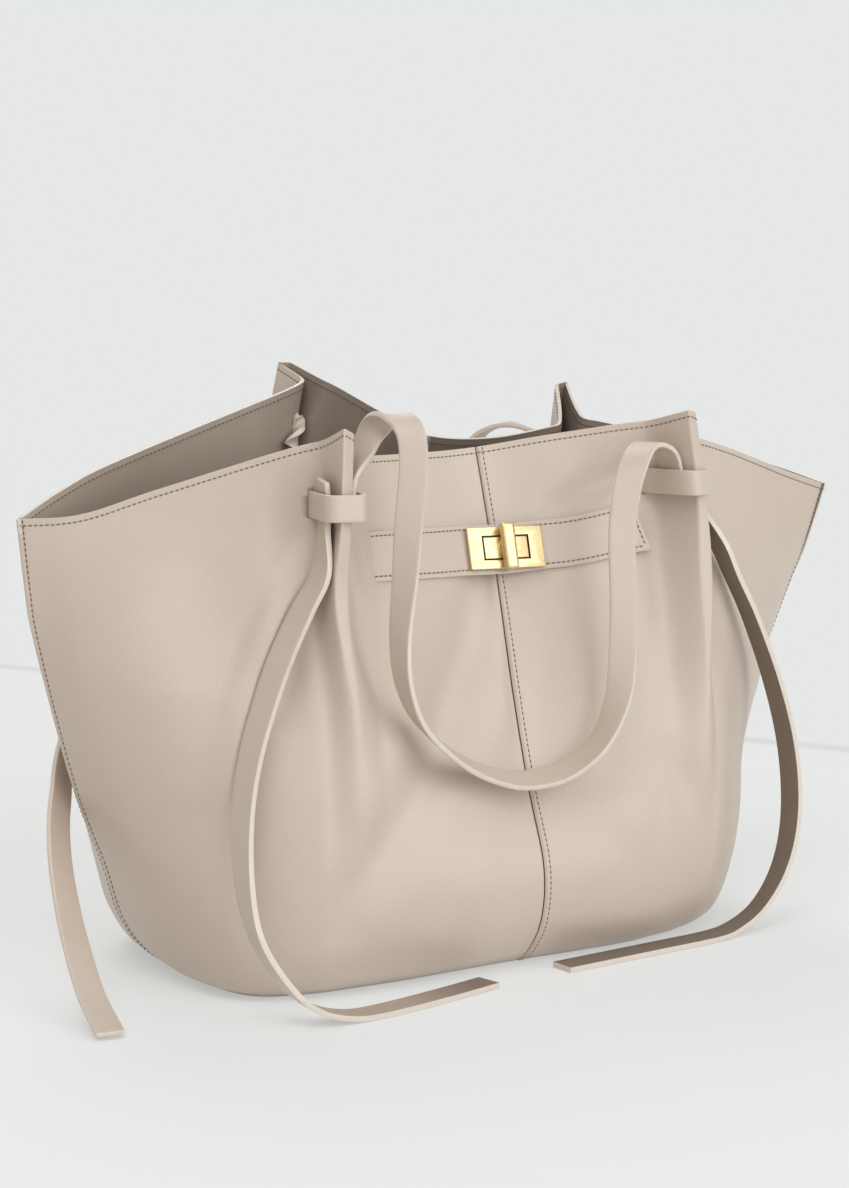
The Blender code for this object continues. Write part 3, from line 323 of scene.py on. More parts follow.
# The front and back walls: four hides, two to a wall, gathered at the rim by four pleats.
# Each is folded at the middle seam and butted at the side seam, and its rim is painted.
# The outlines are those of the pattern, level by level from the base to the rim.
MM = 0.001
WALL_THICK, WALL_EDGE = 2.0, 0.55
LEVEL_Z = (0.0, 9.0, 30.0, 60.0, 100.0, 150.0, 205.0)
NECK_LEVEL, RIM_LEVEL = 7, 8
NECK_BELOW_RIM = 38.0
RIM_MEAN = 280.0
RIM_FOLLOW = (0.0, 0.0, 0.0, 0.0, 0.06, 0.2, 0.5)
MIDDLE_STATION, LAST_STATION = 6, 12
OUTLINES = {
    "front": (
        ((-168, 0), (-170, -40), (-157, -74), (-122, -84), (-80, -83), (-40, -79), (0, -75),
         (40, -73), (80, -69), (111, -60), (138, -43), (155, -21), (160, 0)),
        ((-186, 0), (-185, -45), (-169, -84), (-128, -99), (-84, -98), (-41, -94), (0, -89),
         (40, -88), (82, -84), (116, -74), (145, -53), (164, -26), (171, 0)),
        ((-202, 0), (-196, -45), (-174, -88), (-131, -107), (-88, -108), (-42, -106), (0, -103),
         (41, -102), (83, -97), (119, -86), (149, -61), (170, -30), (180, 0)),
        ((-212, 0), (-203, -45), (-176, -86), (-132, -108), (-90, -110), (-43, -109), (0, -104.5),
         (42, -105), (85, -102), (121, -91), (153, -64), (176, -31), (189, 0)),
        ((-227, 0), (-212, -40), (-178, -78), (-130, -103), (-91, -103), (-43, -96), (0, -87),
         (42, -93), (87, -98), (122, -91), (154, -63), (180, -30), (196, 0)),
        ((-240, 0), (-220, -33), (-180, -64), (-127, -90), (-94, -89), (-43, -78), (0, -69),
         (43, -77), (90, -86), (121, -85), (160, -57), (195, -27), (214, 0)),
        ((-251, 0), (-226, -23), (-182, -46), (-124, -70), (-97, -68), (-42, -59), (0, -52),
         (44, -60), (93, -69), (117, -70), (166, -48), (209, -22), (234, 0)),
        ((-254, 0), (-228, -18), (-184, -38), (-112, -63), (-103, -61), (-42, -47), (0, -39),
         (44, -49), (97, -57), (106, -56), (162, -42), (217, -17), (244, 0)),
        ((-258, 0), (-228, -15), (-188, -31), (-116, -60), (-98, -52), (-42, -33), (0, -25),
         (42, -38), (90, -57), (104, -50), (155, -40), (217, -15), (258, 0)),
    ),
    "back": (
        ((-168, 0), (-166, 32), (-148, 63), (-112, 74), (-76, 76), (-38, 77), (0, 76),
         (40, 76), (80, 75), (112, 69), (141, 51), (158, 26), (160, 0)),
        ((-186, 0), (-182, 38), (-162, 74), (-118, 90), (-80, 92), (-40, 92), (0, 91),
         (41, 91), (82, 90), (117, 83), (149, 61), (168, 30), (171, 0)),
        ((-202, 0), (-194, 40), (-170, 79), (-120, 103), (-80, 106), (-40, 106), (0, 104),
         (41, 105), (84, 103), (120, 95), (152, 70), (174, 35), (180, 0)),
        ((-212, 0), (-202, 40), (-174, 79), (-120, 106), (-79, 110), (-38, 109), (0, 106),
         (42, 108), (86, 107), (122, 98), (157, 73), (181, 36), (189, 0)),
        ((-227, 0), (-211, 36), (-176, 71), (-114, 100), (-74, 105), (-34, 99), (0, 93),
         (42, 98), (90, 103), (124, 97), (160, 71), (186, 35), (196, 0)),
        ((-240, 0), (-219, 28), (-178, 57), (-104, 87), (-70, 91), (-28, 83), (0, 76),
         (44, 81), (93, 89), (123, 88), (166, 64), (200, 31), (214, 0)),
        ((-251, 0), (-225, 20), (-180, 42), (-92, 70), (-66, 72), (-24, 64), (0, 58),
         (45, 63), (97, 70), (119, 69), (170, 52), (211, 24), (234, 0)),
        ((-254, 0), (-228, 16), (-184, 34), (-74, 62), (-64, 62), (-24, 51), (0, 45),
         (46, 50), (101, 57), (111, 57), (166, 44), (218, 19), (244, 0)),
        ((-258, 0), (-228, 13), (-190, 25), (-63, 59), (-53, 55), (-24, 43), (0, 33),
         (45, 38), (99, 52), (117, 52), (162, 38), (218, 17), (258, 0)),
    ),
}
RIMS = {
    "front": (247, 250, 264, 287, 279, 277.5, 279, 286, 293, 289, 276, 258, 247),
    "back": (247, 261, 275, 304, 312, 295, 282, 279, 284, 287, 277, 262, 247),
}
# The pleats rise from these stations to the next. Level by level: how far each stands out,
# how much of it is pinched, and how wide the pinched part stays open.
PLEAT_FEET = (3, 8)
PLEAT_OUT = (0.0, 0.0, 0.0, 1.0, 5.0, 11.0, 19.0, 27.0, 26.0)
PLEAT_PINCH = (0.0, 0.0, 0.0, 0.0, 0.0, 0.1, 0.45, 1.0, 0.72)
PLEAT_OPEN = (0.0, 0.0, 0.0, 0.0, 0.0, 0.0, 15.0, 7.2, 11.5)
# The way each points, how far it leans to the right and rises at the rim, and where the rim
# beside a pleat curls up.
PLEAT_WAY = {
    "front": {3: (-0.16, -0.99), 8: (0.42, -0.91)},
    "back": {3: (-0.26, 0.97), 8: (0.2, 0.98)},
}
PLEAT_LEAN = {"front": {3: 4.5, 8: 0.0}, "back": {3: -2.0, 8: 3.0}}
PLEAT_RISE = {"front": {3: 11.0, 8: 8.0}, "back": {3: 10.0, 8: 22.0}}
RIM_CURL = {"front": {}, "back": {3: 8.0}}
CURL_REACH, CURL_PASSES = 0.3, 8
# Where a hide's columns and rows lie: over half a pleat, in from a seam and down from the rim.
PLEAT_LINES = (0.006, 0.015, 0.03, 0.045, 0.06, 0.075, 0.09, 0.11, 0.14, 0.18, 0.22, 0.28, 0.34, 0.4,
               0.46, 0.53, 0.6, 0.67, 0.74, 0.81, 0.88, 0.94)
SEAM_LINES = (0.0, 0.35, 0.8, 1.3, 1.9, 2.5, 3.1, 3.6, 4.2, 5.2, 7.0, 10.0)
RIM_LINES = (0.0, 0.8, 1.6, 2.4, 3.0, 3.5, 4.0, 4.6, 5.6, 7.4)
STATION_APART = 42.0
COLUMNS_EACH = 14
ROWS_BELOW_NECK, ROWS_ABOVE_NECK = 90, 14
# Stitches: how far in they run, and how deep and wide they draw the hide in. Of the middle
# seam's lap: how high it stands, and how wide it is before it fades. Then how deep and wide
# the hide dips into the middle seam and a side seam.
STITCH_IN = 3.5
STITCH_DIP, STITCH_DIP_WIDE = 0.1, 0.9
LAP_HIGH, LAP_WIDE, LAP_FADE = 0.55, 2.6, 4.0
LAP_STITCH_DIP, LAP_STITCH_DIP_WIDE = 0.15, 0.8
SEAM_DIP, SEAM_DIP_WIDE = {"left": 1.5, "right": 1.1}, 0.75
SIDE_DIP, SIDE_DIP_WIDE = 0.9, 0.7
# The radius of a needle hole's dark disc of painted shade, how high threads and holes lie, and how far off a
# thread's way is read.
HOLE_ROUND = 0.2
THREAD_LIFT, HOLE_LIFT = 0.08, 0.09
NEARBY = 0.4
# Where the painted rim begins, and how near a seam's plane its cut edge lies, in metres.
RIM_FROM, SEAM_NEAR = 0.24, 0.0004
LEATHER_SLOT, PAINT_SLOT = 0, 2
# The bands hold the pleats shut down to here, and the folds come in below over this far.
PLEAT_HELD, PLEAT_FREED = 196.0, 45.0
PLEAT_BESIDE = 0.4
# Folds fade out within this far of the middle seam, a side seam, the base and the rim.
MIDDLE_NEAR = 60.0
MIDDLE_FADE, SIDE_FADE, BASE_FADE, RIM_FADE = 9.0, 26.0, 34.0, 40.0
RIM_STILL = 4.0
# The slight unevenness of a hide: how high and how fine.
UNEVEN = ((0.9, 0.017), (0.22, 0.06))
# Every fold starts this far into its swell, and the lower the second number, the fuller it is.
FOLD_START, FOLD_FULL = 0.12, 0.7
# Soft folds: how far each stands out, how wide it is, and its line down the wall as x and z.
FOLDS = {
    "front": (
        (4.8, 7, (-124, 228), (-130, 214), (-138, 205), (-148, 188), (-157, 170), (-165, 150), (-171, 126),
         (-176, 84)),
        (-6.5, 9, (-112, 230), (-114, 218), (-120, 202), (-129, 184), (-139, 164), (-148, 136)),
        (-6.0, 9, (-132, 286), (-129, 264), (-129, 240), (-136, 218)),
        (4.6, 8, (-97, 246), (-92, 234), (-90, 216), (-92, 198)),
        (2.6, 14, (-99, 230), (-102, 200), (-103, 172), (-98, 146), (-86, 118)),
        (7.0, 30, (-214, 290), (-209, 222), (-203, 184), (-192, 140), (-184, 100)),
        (-3.0, 26, (-168, 232), (-178, 196), (-182, 160)),
        (-7.0, 15, (-8, 212), (-26, 173), (-45, 149), (-62, 122), (-84, 95), (-112, 62), (-140, 24)),
        (2.6, 13, (-4, 186), (-4, 160), (-14, 130), (-34, 100)),
        (3.2, 20, (-72, 150), (-88, 120), (-108, 84)),
        (-5.0, 8, (96, 268), (76, 264), (54, 254), (28, 244)),
        (-4.5, 17, (94, 256), (91, 226), (89, 194), (82, 162), (68, 128)),
        (3.4, 9, (124, 228), (131, 206), (138, 182), (144, 150)),
        (3.4, 24, (56, 196), (48, 154), (42, 112)),
        (2.8, 13, (38, 92), (54, 80), (72, 74)),
        (-3.0, 14, (72, 116), (94, 94), (112, 62)),
        (2.2, 22, (178, 225), (168, 165), (158, 110)),
    ),
    "back": (
        (-3.0, 16, (-98, 236), (-120, 190), (-134, 140)),
        (2.0, 12, (-70, 205), (-74, 150), (-80, 100)),
        (-2.6, 15, (-48, 236), (-44, 180), (-50, 120)),
        (-2.0, 22, (14, 140), (6, 90), (-8, 60)),
        (-2.8, 15, (88, 232), (84, 185), (90, 135)),
        (-2.8, 15, (130, 234), (140, 190), (148, 140)),
    ),
}


def catmull_weights(count, places):
    """Weights that read a smooth line through that many points at these places along it."""
    weights = np.zeros((len(places), count))
    for row, place in enumerate(places):
        i = min(int(place), count - 2)
        t = place - i
        parts = (
            0.5 * (-t + 2 * t ** 2 - t ** 3), 0.5 * (2 - 5 * t ** 2 + 3 * t ** 3),
            0.5 * (t + 4 * t ** 2 - 3 * t ** 3), 0.5 * (-(t ** 2) + t ** 3),
        )
        for k, part in zip((i - 1, i, i + 1, i + 2), parts):
            if k < 0:
                weights[row, 0] += 2 * part
                weights[row, 1] -= part
            elif k > count - 1:
                weights[row, count - 1] += 2 * part
                weights[row, count - 2] -= part
            else:
                weights[row, k] += part
    return weights


def pleat_place(share, out, pinch, opening, foot_wide):
    """Where one line of a pleat lies: its place between the feet and its distance out."""
    # An open pleat is a round swell. A pinched one runs out and back as two leaves, which stay
    # apart by its opening and bend sharply at their feet and at the fold between them.
    side = abs(share)
    narrow = opening / max(foot_wide, opening)
    folded = narrow * min(1.0, side / 0.1) ** 0.6 + (1 - narrow) * side ** 4
    place = (1 - pinch) * share + pinch * math.copysign(folded, share)
    soft = 0.5 + 0.5 * math.cos(math.pi * side)
    sharp = min(1.0, 1.06 * (1 - side) ** 0.85)
    return 0.5 + 0.5 * place, out * ((1 - pinch) * soft + pinch * sharp)


def softened(points, axis, passes=1):
    """A line or grid whose inner points are drawn halfway toward their neighbours."""
    points = np.moveaxis(np.array(points), axis, 0)
    for _ in range(passes):
        points[1:-1] = 0.25 * points[:-2] + 0.5 * points[1:-1] + 0.25 * points[2:]
    return np.moveaxis(points, 0, axis)


def walked(points, axis):
    """How far each point of a line or grid lies from the first one along this axis."""
    steps = np.linalg.norm(np.diff(points, axis=axis), axis=-1)
    return np.insert(np.cumsum(steps, axis=axis), 0, 0.0, axis=axis)


def eased(share):
    """A share from 0 to 1 that starts and ends gently."""
    share = np.clip(share, 0, 1)
    return share * share * (3 - 2 * share)


def bell(distance, width):
    """1 at no distance, falling away over this width."""
    return np.exp(-((distance / width) ** 2))


def wall_columns(half):
    """Places of a hide's columns along the thirteen stations of its wall."""
    first, last = (0, MIDDLE_STATION) if half == "left" else (MIDDLE_STATION, LAST_STATION)
    places = []
    for station in range(first, last):
        if station in PLEAT_FEET:
            shares = [-share for share in PLEAT_LINES[::-1]] + [0.0] + list(PLEAT_LINES)
            places += [station] + [station + 0.5 + 0.5 * share for share in shares]
        else:
            places += list(station + np.arange(COLUMNS_EACH) / COLUMNS_EACH)
    near = np.array(SEAM_LINES) / STATION_APART
    places = [place for place in places if first + near[-1] < place < last - near[-1]]
    return np.concatenate([first + near, places, (last - near)[::-1]])


def wall_rows():
    """Places of a hide's rows along its levels, closest together at the rim."""
    below = np.linspace(0, NECK_LEVEL, ROWS_BELOW_NECK + 1)[:-1]
    above = np.linspace(NECK_LEVEL, RIM_LEVEL, ROWS_ABOVE_NECK + 1)
    rows = np.concatenate([below, above])
    near = RIM_LEVEL - np.array(RIM_LINES) / NECK_BELOW_RIM
    return np.concatenate([rows[rows < near[-1]], near[::-1]])


def wall_level(side, level, places):
    """One level of a wall, read at these places along it, with its pleats folded."""
    heights = np.array(RIMS[side], float)
    if level < NECK_LEVEL:
        heights = LEVEL_Z[level] + RIM_FOLLOW[level] * (heights - RIM_MEAN)
    elif level == NECK_LEVEL:
        heights -= NECK_BELOW_RIM
    else:
        for station, lift in RIM_CURL[side].items():
            heights[station] += lift
    stations = np.column_stack([np.array(OUTLINES[side][level], float), heights])
    line = catmull_weights(len(stations), places) @ stations
    for n, place in enumerate(places):
        foot = int(place)
        if foot not in PLEAT_FEET:
            continue
        left, right = stations[foot], stations[foot + 1]
        foot_wide = np.linalg.norm((right - left)[:2])
        share = 2 * (place - foot) - 1
        part, out = pleat_place(share, PLEAT_OUT[level], PLEAT_PINCH[level], PLEAT_OPEN[level], foot_wide)
        line[n] = left + (right - left) * part + np.array((*PLEAT_WAY[side][foot], 0.0)) * out
        if level == RIM_LEVEL:
            line[n, 0] += PLEAT_LEAN[side][foot] * out / PLEAT_OUT[-1]
            line[n, 2] += PLEAT_RISE[side][foot] * out / PLEAT_OUT[-1]
    if level == RIM_LEVEL:
        curled = [n for n, place in enumerate(places) for s in RIM_CURL[side] if abs(place - s) < CURL_REACH]
        curled = np.array(curled, int)
        for _ in range(CURL_PASSES):
            line[curled] = (line[curled - 1] + 2 * line[curled] + line[curled + 1]) / 4
    return line


def wall_surface(side, half):
    """The outer face of one hide, as rows of points in millimetres from the base to the rim."""
    places = wall_columns(half)
    levels = np.array([wall_level(side, level, places) for level in range(RIM_LEVEL + 1)])
    rows = np.einsum("rl,lcd->rcd", catmull_weights(len(levels), wall_rows()), levels)
    return softened(rows, 1)


def surface_normals(rows):
    """Unit normals of a grid of points, on the side that faces outward."""
    normals = np.cross(np.gradient(rows, axis=1), np.gradient(rows, axis=0))
    return normals / np.linalg.norm(normals, axis=2)[:, :, None]


def fold_lift(flat, side):
    """How far the soft folds stand out at these places of a wall, given as x and z."""
    lift = np.zeros(flat.shape[:2])
    for high, wide, *line in FOLDS[side]:
        line = np.array(line, float)
        nearest, share = np.full(lift.shape, np.inf), np.zeros(lift.shape)
        for i, (a, b) in enumerate(zip(line[:-1], line[1:])):
            along = np.clip(((flat - a) @ (b - a)) / ((b - a) @ (b - a)), 0, 1)
            away = np.linalg.norm(flat - a - along[:, :, None] * (b - a), axis=2)
            share = np.where(away < nearest, (i + along) / (len(line) - 1), share)
            nearest = np.minimum(nearest, away)
        swell = np.clip(FOLD_START + (1 - FOLD_START) * share, 0, 1)
        lift += high * bell(nearest, wide) * np.sin(np.pi * swell) ** FOLD_FULL
    return lift


def folded(rows, side, places):
    """The face with its soft folds, and with the slight unevenness that a hide has over its length."""
    lift = fold_lift(rows[:, :, (0, 2)], side)
    for row, points in enumerate(rows):
        for column, point in enumerate(points):
            lift[row, column] += sum(high * noise_at(Vector(point) * fine) for high, fine in UNEVEN)
    # Nothing moves at the base, at the rim and at the seams, where the walls are sewn and stiff.
    along = walked(rows, 1)
    off_side = np.minimum(along, along[:, -1:] - along)
    off_middle, height = np.abs(rows[:, :, 0]), rows[:, :, 2]
    quiet = eased(np.where(off_middle < MIDDLE_NEAR, off_middle / MIDDLE_FADE, off_side / SIDE_FADE))
    quiet *= np.clip(height / BASE_FADE, 0, 1)
    quiet *= np.clip((height[-1:] - height - RIM_STILL) / RIM_FADE, 0, 1)
    # The bands hold the pleats shut, so the folds begin only below them.
    beside = [min(max(foot - place, place - foot - 1, 0.0) for foot in PLEAT_FEET) for place in places]
    shut = eased(1 - np.array(beside) / PLEAT_BESIDE)[None, :]
    quiet *= 1 - shut * (1 - eased((PLEAT_HELD - height) / PLEAT_FREED))
    return rows + surface_normals(rows) * (lift * quiet)[:, :, None]


def worked(rows, side, half, places):
    """The face as it is sewn: a dip along each line of stitches, and the lap of the middle seam."""
    rows = folded(rows, side, places)
    normals = surface_normals(rows)
    along = walked(rows, 1)
    to_side = along if half == "left" else along[:, -1:] - along
    to_middle = along[:, -1:] - along if half == "left" else along
    below_rim = walked(rows[::-1], 0)[::-1]
    lift = -STITCH_DIP * bell(below_rim - STITCH_IN, STITCH_DIP_WIDE)
    lift -= STITCH_DIP * bell(to_side - STITCH_IN, STITCH_DIP_WIDE)
    if half == "right":
        lift += LAP_HIGH * (1 - np.clip((to_middle - LAP_WIDE) / LAP_FADE, 0, 1)) ** 2
        lift -= LAP_STITCH_DIP * bell(to_middle - STITCH_IN, LAP_STITCH_DIP_WIDE)
    lift -= SEAM_DIP[half] * bell(to_middle, SEAM_DIP_WIDE) + SIDE_DIP * bell(to_side, SIDE_DIP_WIDE)
    return rows + normals * lift[:, :, None], normals


def clear_selection():
    """Leaves no piece selected, so that the next step acts on its own piece alone."""
    for chosen in list(bpy.context.selected_objects):
        chosen.select_set(False)


def dressed(piece, name, materials):
    """The new piece with its name and its materials."""
    piece.name = name
    for material in materials:
        piece.data.materials.append(material)
    return piece


def grid_piece(name, rows, materials):
    """A grid primitive whose points are laid on these rows, in millimetres."""
    clear_selection()
    high, wide = rows.shape[:2]
    bpy.ops.mesh.primitive_grid_add(x_subdivisions=wide - 1, y_subdivisions=high - 1, size=1)
    piece = dressed(bpy.context.object, name, materials)
    piece.data.vertices.foreach_set("co", (rows * MM).astype(np.float32).ravel())
    piece.data.update()
    return piece


def finish_modifiers(piece):
    """Applies a piece's modifiers, so that they become part of its mesh."""
    clear_selection()
    piece.select_set(True)
    bpy.context.view_layer.objects.active = piece
    for modifier in list(piece.modifiers):
        bpy.ops.object.modifier_apply(modifier=modifier.name)


def bevelled(piece, name, wide, segments, angle=30):
    """Rounds the edges where faces meet at more than this angle, in degrees."""
    rounded = piece.modifiers.new(name, "BEVEL")
    rounded.width = wide * MM
    rounded.segments = segments
    rounded.limit_method = "ANGLE"
    rounded.angle_limit = math.radians(angle)
    finish_modifiers(piece)


def smoothed(piece, angle):
    """Shades a piece smooth, with an edge kept sharp past this angle, in degrees."""
    piece.data.shade_smooth()
    piece.data.set_sharp_from_angle(angle=math.radians(angle))


def thicken(piece, thick, offset, edge, segments=2, inner=0, rim=1):
    """Gives a face its thickness and rounds its edges."""
    solid = piece.modifiers.new("thickness", "SOLIDIFY")
    solid.thickness = thick * MM
    solid.offset = offset
    solid.material_offset = inner
    solid.material_offset_rim = rim
    bevelled(piece, "edges", edge, segments, 55)
    smoothed(piece, 60)


def read_at(at, steps, table):
    """A row of the table, read at this length along its steps."""
    return np.array([np.interp(at, steps, column) for column in table.T])


def stitch_row(name, line, normals, pitch=2.9, long=1.95, thick=0.86):
    """A run of stitches along a line on a face: threads laid end to end, with a needle hole's dark disc of
    painted shade between.
    """
    steps = walked(line, 0)
    count = int(steps[-1] / pitch)
    clear_selection()
    bpy.ops.mesh.primitive_uv_sphere_add(segments=8, ring_count=5, radius=0.5)
    unit = bpy.context.object
    stitch = np.array([vert.co[:] for vert in unit.data.vertices]) * (long, thick, thick * 0.8)
    stitch_faces = [list(face.vertices) for face in unit.data.polygons]
    bpy.data.objects.remove(unit, do_unlink=True)
    hole = np.array([(math.cos(a), math.sin(a), 0.0) for a in np.arange(6) * math.pi / 3]) * HOLE_ROUND
    hole += (pitch * 0.5, 0, 0)
    points, faces, slots = [], [], []
    for at in (np.arange(count) + 0.5) * steps[-1] / count:
        spot, up = read_at(at, steps, line), read_at(at, steps, normals)
        way = read_at(at + NEARBY, steps, line) - read_at(at - NEARBY, steps, line)
        way /= np.linalg.norm(way)
        up = up - way * (up @ way)
        up /= np.linalg.norm(up)
        turn = np.array((way, np.cross(up, way), up))
        for shape, shape_faces, lift in ((stitch, stitch_faces, THREAD_LIFT), (hole, [range(6)], HOLE_LIFT)):
            faces += [[len(points) + corner for corner in face] for face in shape_faces]
            slots += [int(shape is hole)] * len(shape_faces)
            points += list(shape @ turn + spot + up * lift)
    mesh = bpy.data.meshes.new(name)
    mesh.from_pydata(np.array(points) * MM, [], faces)
    mesh.materials.append(thread)
    mesh.materials.append(needle_hole_shade)
    mesh.polygons.foreach_set("material_index", slots)
    mesh.shade_smooth()
    piece = bpy.data.objects.new(name, mesh)
    bpy.context.scene.collection.objects.link(piece)
    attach(piece, "bag")


def inset_line(rows, normals, edge, inset):
    """The line on a face that lies this far in from one edge of it."""
    if edge in ("first", "last"):
        rows, normals = rows.transpose(1, 0, 2), normals.transpose(1, 0, 2)
    if edge in ("top", "last"):
        rows, normals = rows[::-1], normals[::-1]
    away = walked(rows, 0)
    columns = range(rows.shape[1])
    line = np.array([read_at(inset, away[:, column], rows[:, column]) for column in columns])
    ups = np.array([read_at(inset, away[:, column], normals[:, column]) for column in columns])
    return line, ups


walls = {}
wall_faces = {}
for side in ("front", "back"):
    for half in ("left", "right"):
        rows, places = wall_surface(side, half), wall_columns(half)
        seen_half = half
        if side == "back":
            rows, places = rows[:, ::-1], places[::-1]
            seen_half = "right" if half == "left" else "left"
        rows, normals = worked(rows, side, seen_half, places)
        wall_faces[side, half] = rows, normals
        piece = grid_piece(f"{side}_{half}_hide", rows, [leather, flesh, edge_paint])
        thicken(piece, WALL_THICK, -1.0, WALL_EDGE, inner=1, rim=PAINT_SLOT)
        # Only the rim is painted: the base edge and the seams show plain leather.
        for face in piece.data.polygons:
            in_seam = min(abs(face.center.x), abs(face.center.y)) < SEAM_NEAR
            if face.material_index == PAINT_SLOT and (face.center.z < RIM_FROM or in_seam):
                face.material_index = LEATHER_SLOT
        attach(piece, "bag")
        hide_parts(f"{side}_{half}_panel")
        walls[side, half] = piece
        rim_line, rim_up = inset_line(rows, normals, "top", STITCH_IN)
        stitch_row(f"{side}_{half}_rim_stitches", rim_line, rim_up)
        stitch_row(f"{side}_{half}_inner_rim_stitches", (rim_line - rim_up * WALL_THICK)[::-1], -rim_up[::-1])
        seam_edge = "first" if seen_half == "left" else "last"
        stitch_row(f"{side}_{half}_side_stitches", *inset_line(rows, normals, seam_edge, STITCH_IN))
        if seen_half == "right":
            stitch_row(f"{side}_{half}_lap_stitches", *inset_line(rows, normals, "first", STITCH_IN))

# The bottom: a leather base sewn in between the walls, and a stiff board covered with the
# flesh side of the same hide, which lies loose on it and keeps it flat.
BASE_INSET, BASE_THICK, BASE_EDGE = 0.8, 2.0, 0.5
BOARD_INSET, BOARD_THICK, BOARD_EDGE = 9.0, 2.6, 1.0
BOARD_GAP = 0.3


def floor_plate(name, inset, low, thick, edge, material):
    """A flat plate with the outline of the walls' lower edge, moved in by the inset."""
    order = (("front", "left"), ("front", "right"), ("back", "right"), ("back", "left"))
    ring = np.vstack([wall_faces[wall][0][0][:-1] for wall in order])[::3, :2]
    ahead = np.roll(ring, -1, axis=0) - np.roll(ring, 1, axis=0)
    inward = np.column_stack([-ahead[:, 1], ahead[:, 0]])
    ring = ring + inward / np.linalg.norm(inward, axis=1)[:, None] * inset
    clear_selection()
    bpy.ops.mesh.primitive_circle_add(vertices=len(ring), radius=1, fill_type="NGON")
    plate = dressed(bpy.context.object, name, [material])
    places = np.column_stack([ring, np.full(len(ring), low)]) * MM
    plate.data.vertices.foreach_set("co", places.astype(np.float32).ravel())
    thicken(plate, thick, 1.0, edge, 3, inner=0, rim=0)
    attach(plate, "bag")
    return plate


base = floor_plate("base_hide", BASE_INSET, 0.0, BASE_THICK, BASE_EDGE, leather)
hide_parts("base_panel")
board = floor_plate("base_cushion", BOARD_INSET, BASE_THICK + BOARD_GAP, BOARD_THICK, BOARD_EDGE, flesh)
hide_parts("base_board")

# The belt: a stitched strap of the same leather across the front wall, with painted edges
# and a window for the lock. Its left end goes in beside the pleat; its right end is cut on
# a slant.
BELT_TALL, BELT_THICK, BELT_EDGE, BELT_LIFT = 26.0, 2.4, 0.7, 0.45
BELT_LEFT_X, BELT_RIGHT_X = -88.0, 89.0
BELT_MID_Z = (225.5, 224.5, 224.0, 227.0, 235.0)
BELT_COLUMNS, BELT_ROWS, BELT_EVENED = 131, 27, 19
BELT_SLANT = 7.0
BELT_SINK, BELT_SINK_LONG = 2.5, 9.0
BELT_STITCH_IN = 2.6
GROOVE_DEEP, GROOVE_WIDE, GROOVE_END = 0.12, 0.8, 2.0
FAR_OUT = 400
# Where the lock stands on the wall, its ways across, up and out, how far to its sides it
# holds the belt flat, and the window in the belt and the plate.
LOCK_FOOT = np.array((3.0, -49.488, 224.4))
LOCK_ACROSS = np.array((0.9975, -0.0706, 0.0))
LOCK_UP = np.array((0.0219, 0.3099, 0.9505))
LOCK_OUT = np.array((-0.0671, -0.9482, 0.3107))
LOCK_FLAT_HALF = 25.0
WINDOW_WIDE, WINDOW_TALL, WINDOW_CUT = 28.0, 13.6, 45.0


def face_tree(grids):
    """A search tree over faces that are given as rows of points."""
    points, quads = [], []
    for rows in grids:
        wide, start = rows.shape[1], len(points)
        points += [Vector(point) for point in rows.reshape(-1, 3)]
        for i in range(rows.shape[0] - 1):
            for corner in range(start + i * wide, start + (i + 1) * wide - 1):
                quads.append((corner, corner + 1, corner + wide + 1, corner + wide))
    return BVHTree.FromPolygons(points, quads)


front_face = face_tree([wall_surface("front", half) for half in ("left", "right")])


def front_depth(x, z):
    """The y of the front wall's face at this x and height, without its folds."""
    return front_face.ray_cast(Vector((x, -FAR_OUT, z)), Vector((0, 1, 0)))[0].y


def belt_depth(x, z):
    """The same under the belt, which goes straight across where the lock holds it flat."""
    low, high = LOCK_FOOT[0] - LOCK_FLAT_HALF, LOCK_FOOT[0] + LOCK_FLAT_HALF
    if not low < x < high:
        return front_depth(x, z)
    return float(np.interp(x, (low, high), (front_depth(low, z), front_depth(high, z))))


def lock_turn_to(out, across=0.0):
    """Places a piece of the lock: its own Z points out of the bag and its own Y up."""
    turn = Matrix((LOCK_ACROSS, LOCK_UP, LOCK_OUT)).transposed().to_4x4()
    return Matrix.Translation((LOCK_FOOT + LOCK_OUT * out + LOCK_ACROSS * across) * MM) @ turn


def boxed(name, size, place, materials=(), edge=0.0, segments=3):
    """A block of this size in millimetres with rounded edges, placed by the matrix."""
    clear_selection()
    bpy.ops.mesh.primitive_cube_add(size=1)
    block = dressed(bpy.context.object, name, materials)
    block.scale = [side * MM for side in size]
    bpy.ops.object.transform_apply(location=False, rotation=False, scale=True)
    if edge:
        bevelled(block, "edges", edge, segments)
    block.data.transform(place)
    smoothed(block, 35)
    return block


def cut_by(piece, cutter, operation="DIFFERENCE"):
    """Cuts the cutter out of a piece, or joins the two, and does away with the cutter."""
    cut = piece.modifiers.new("cut", "BOOLEAN")
    cut.operation = operation
    cut.object = cutter
    cut.solver = "EXACT"
    finish_modifiers(piece)
    bpy.data.objects.remove(cutter, do_unlink=True)


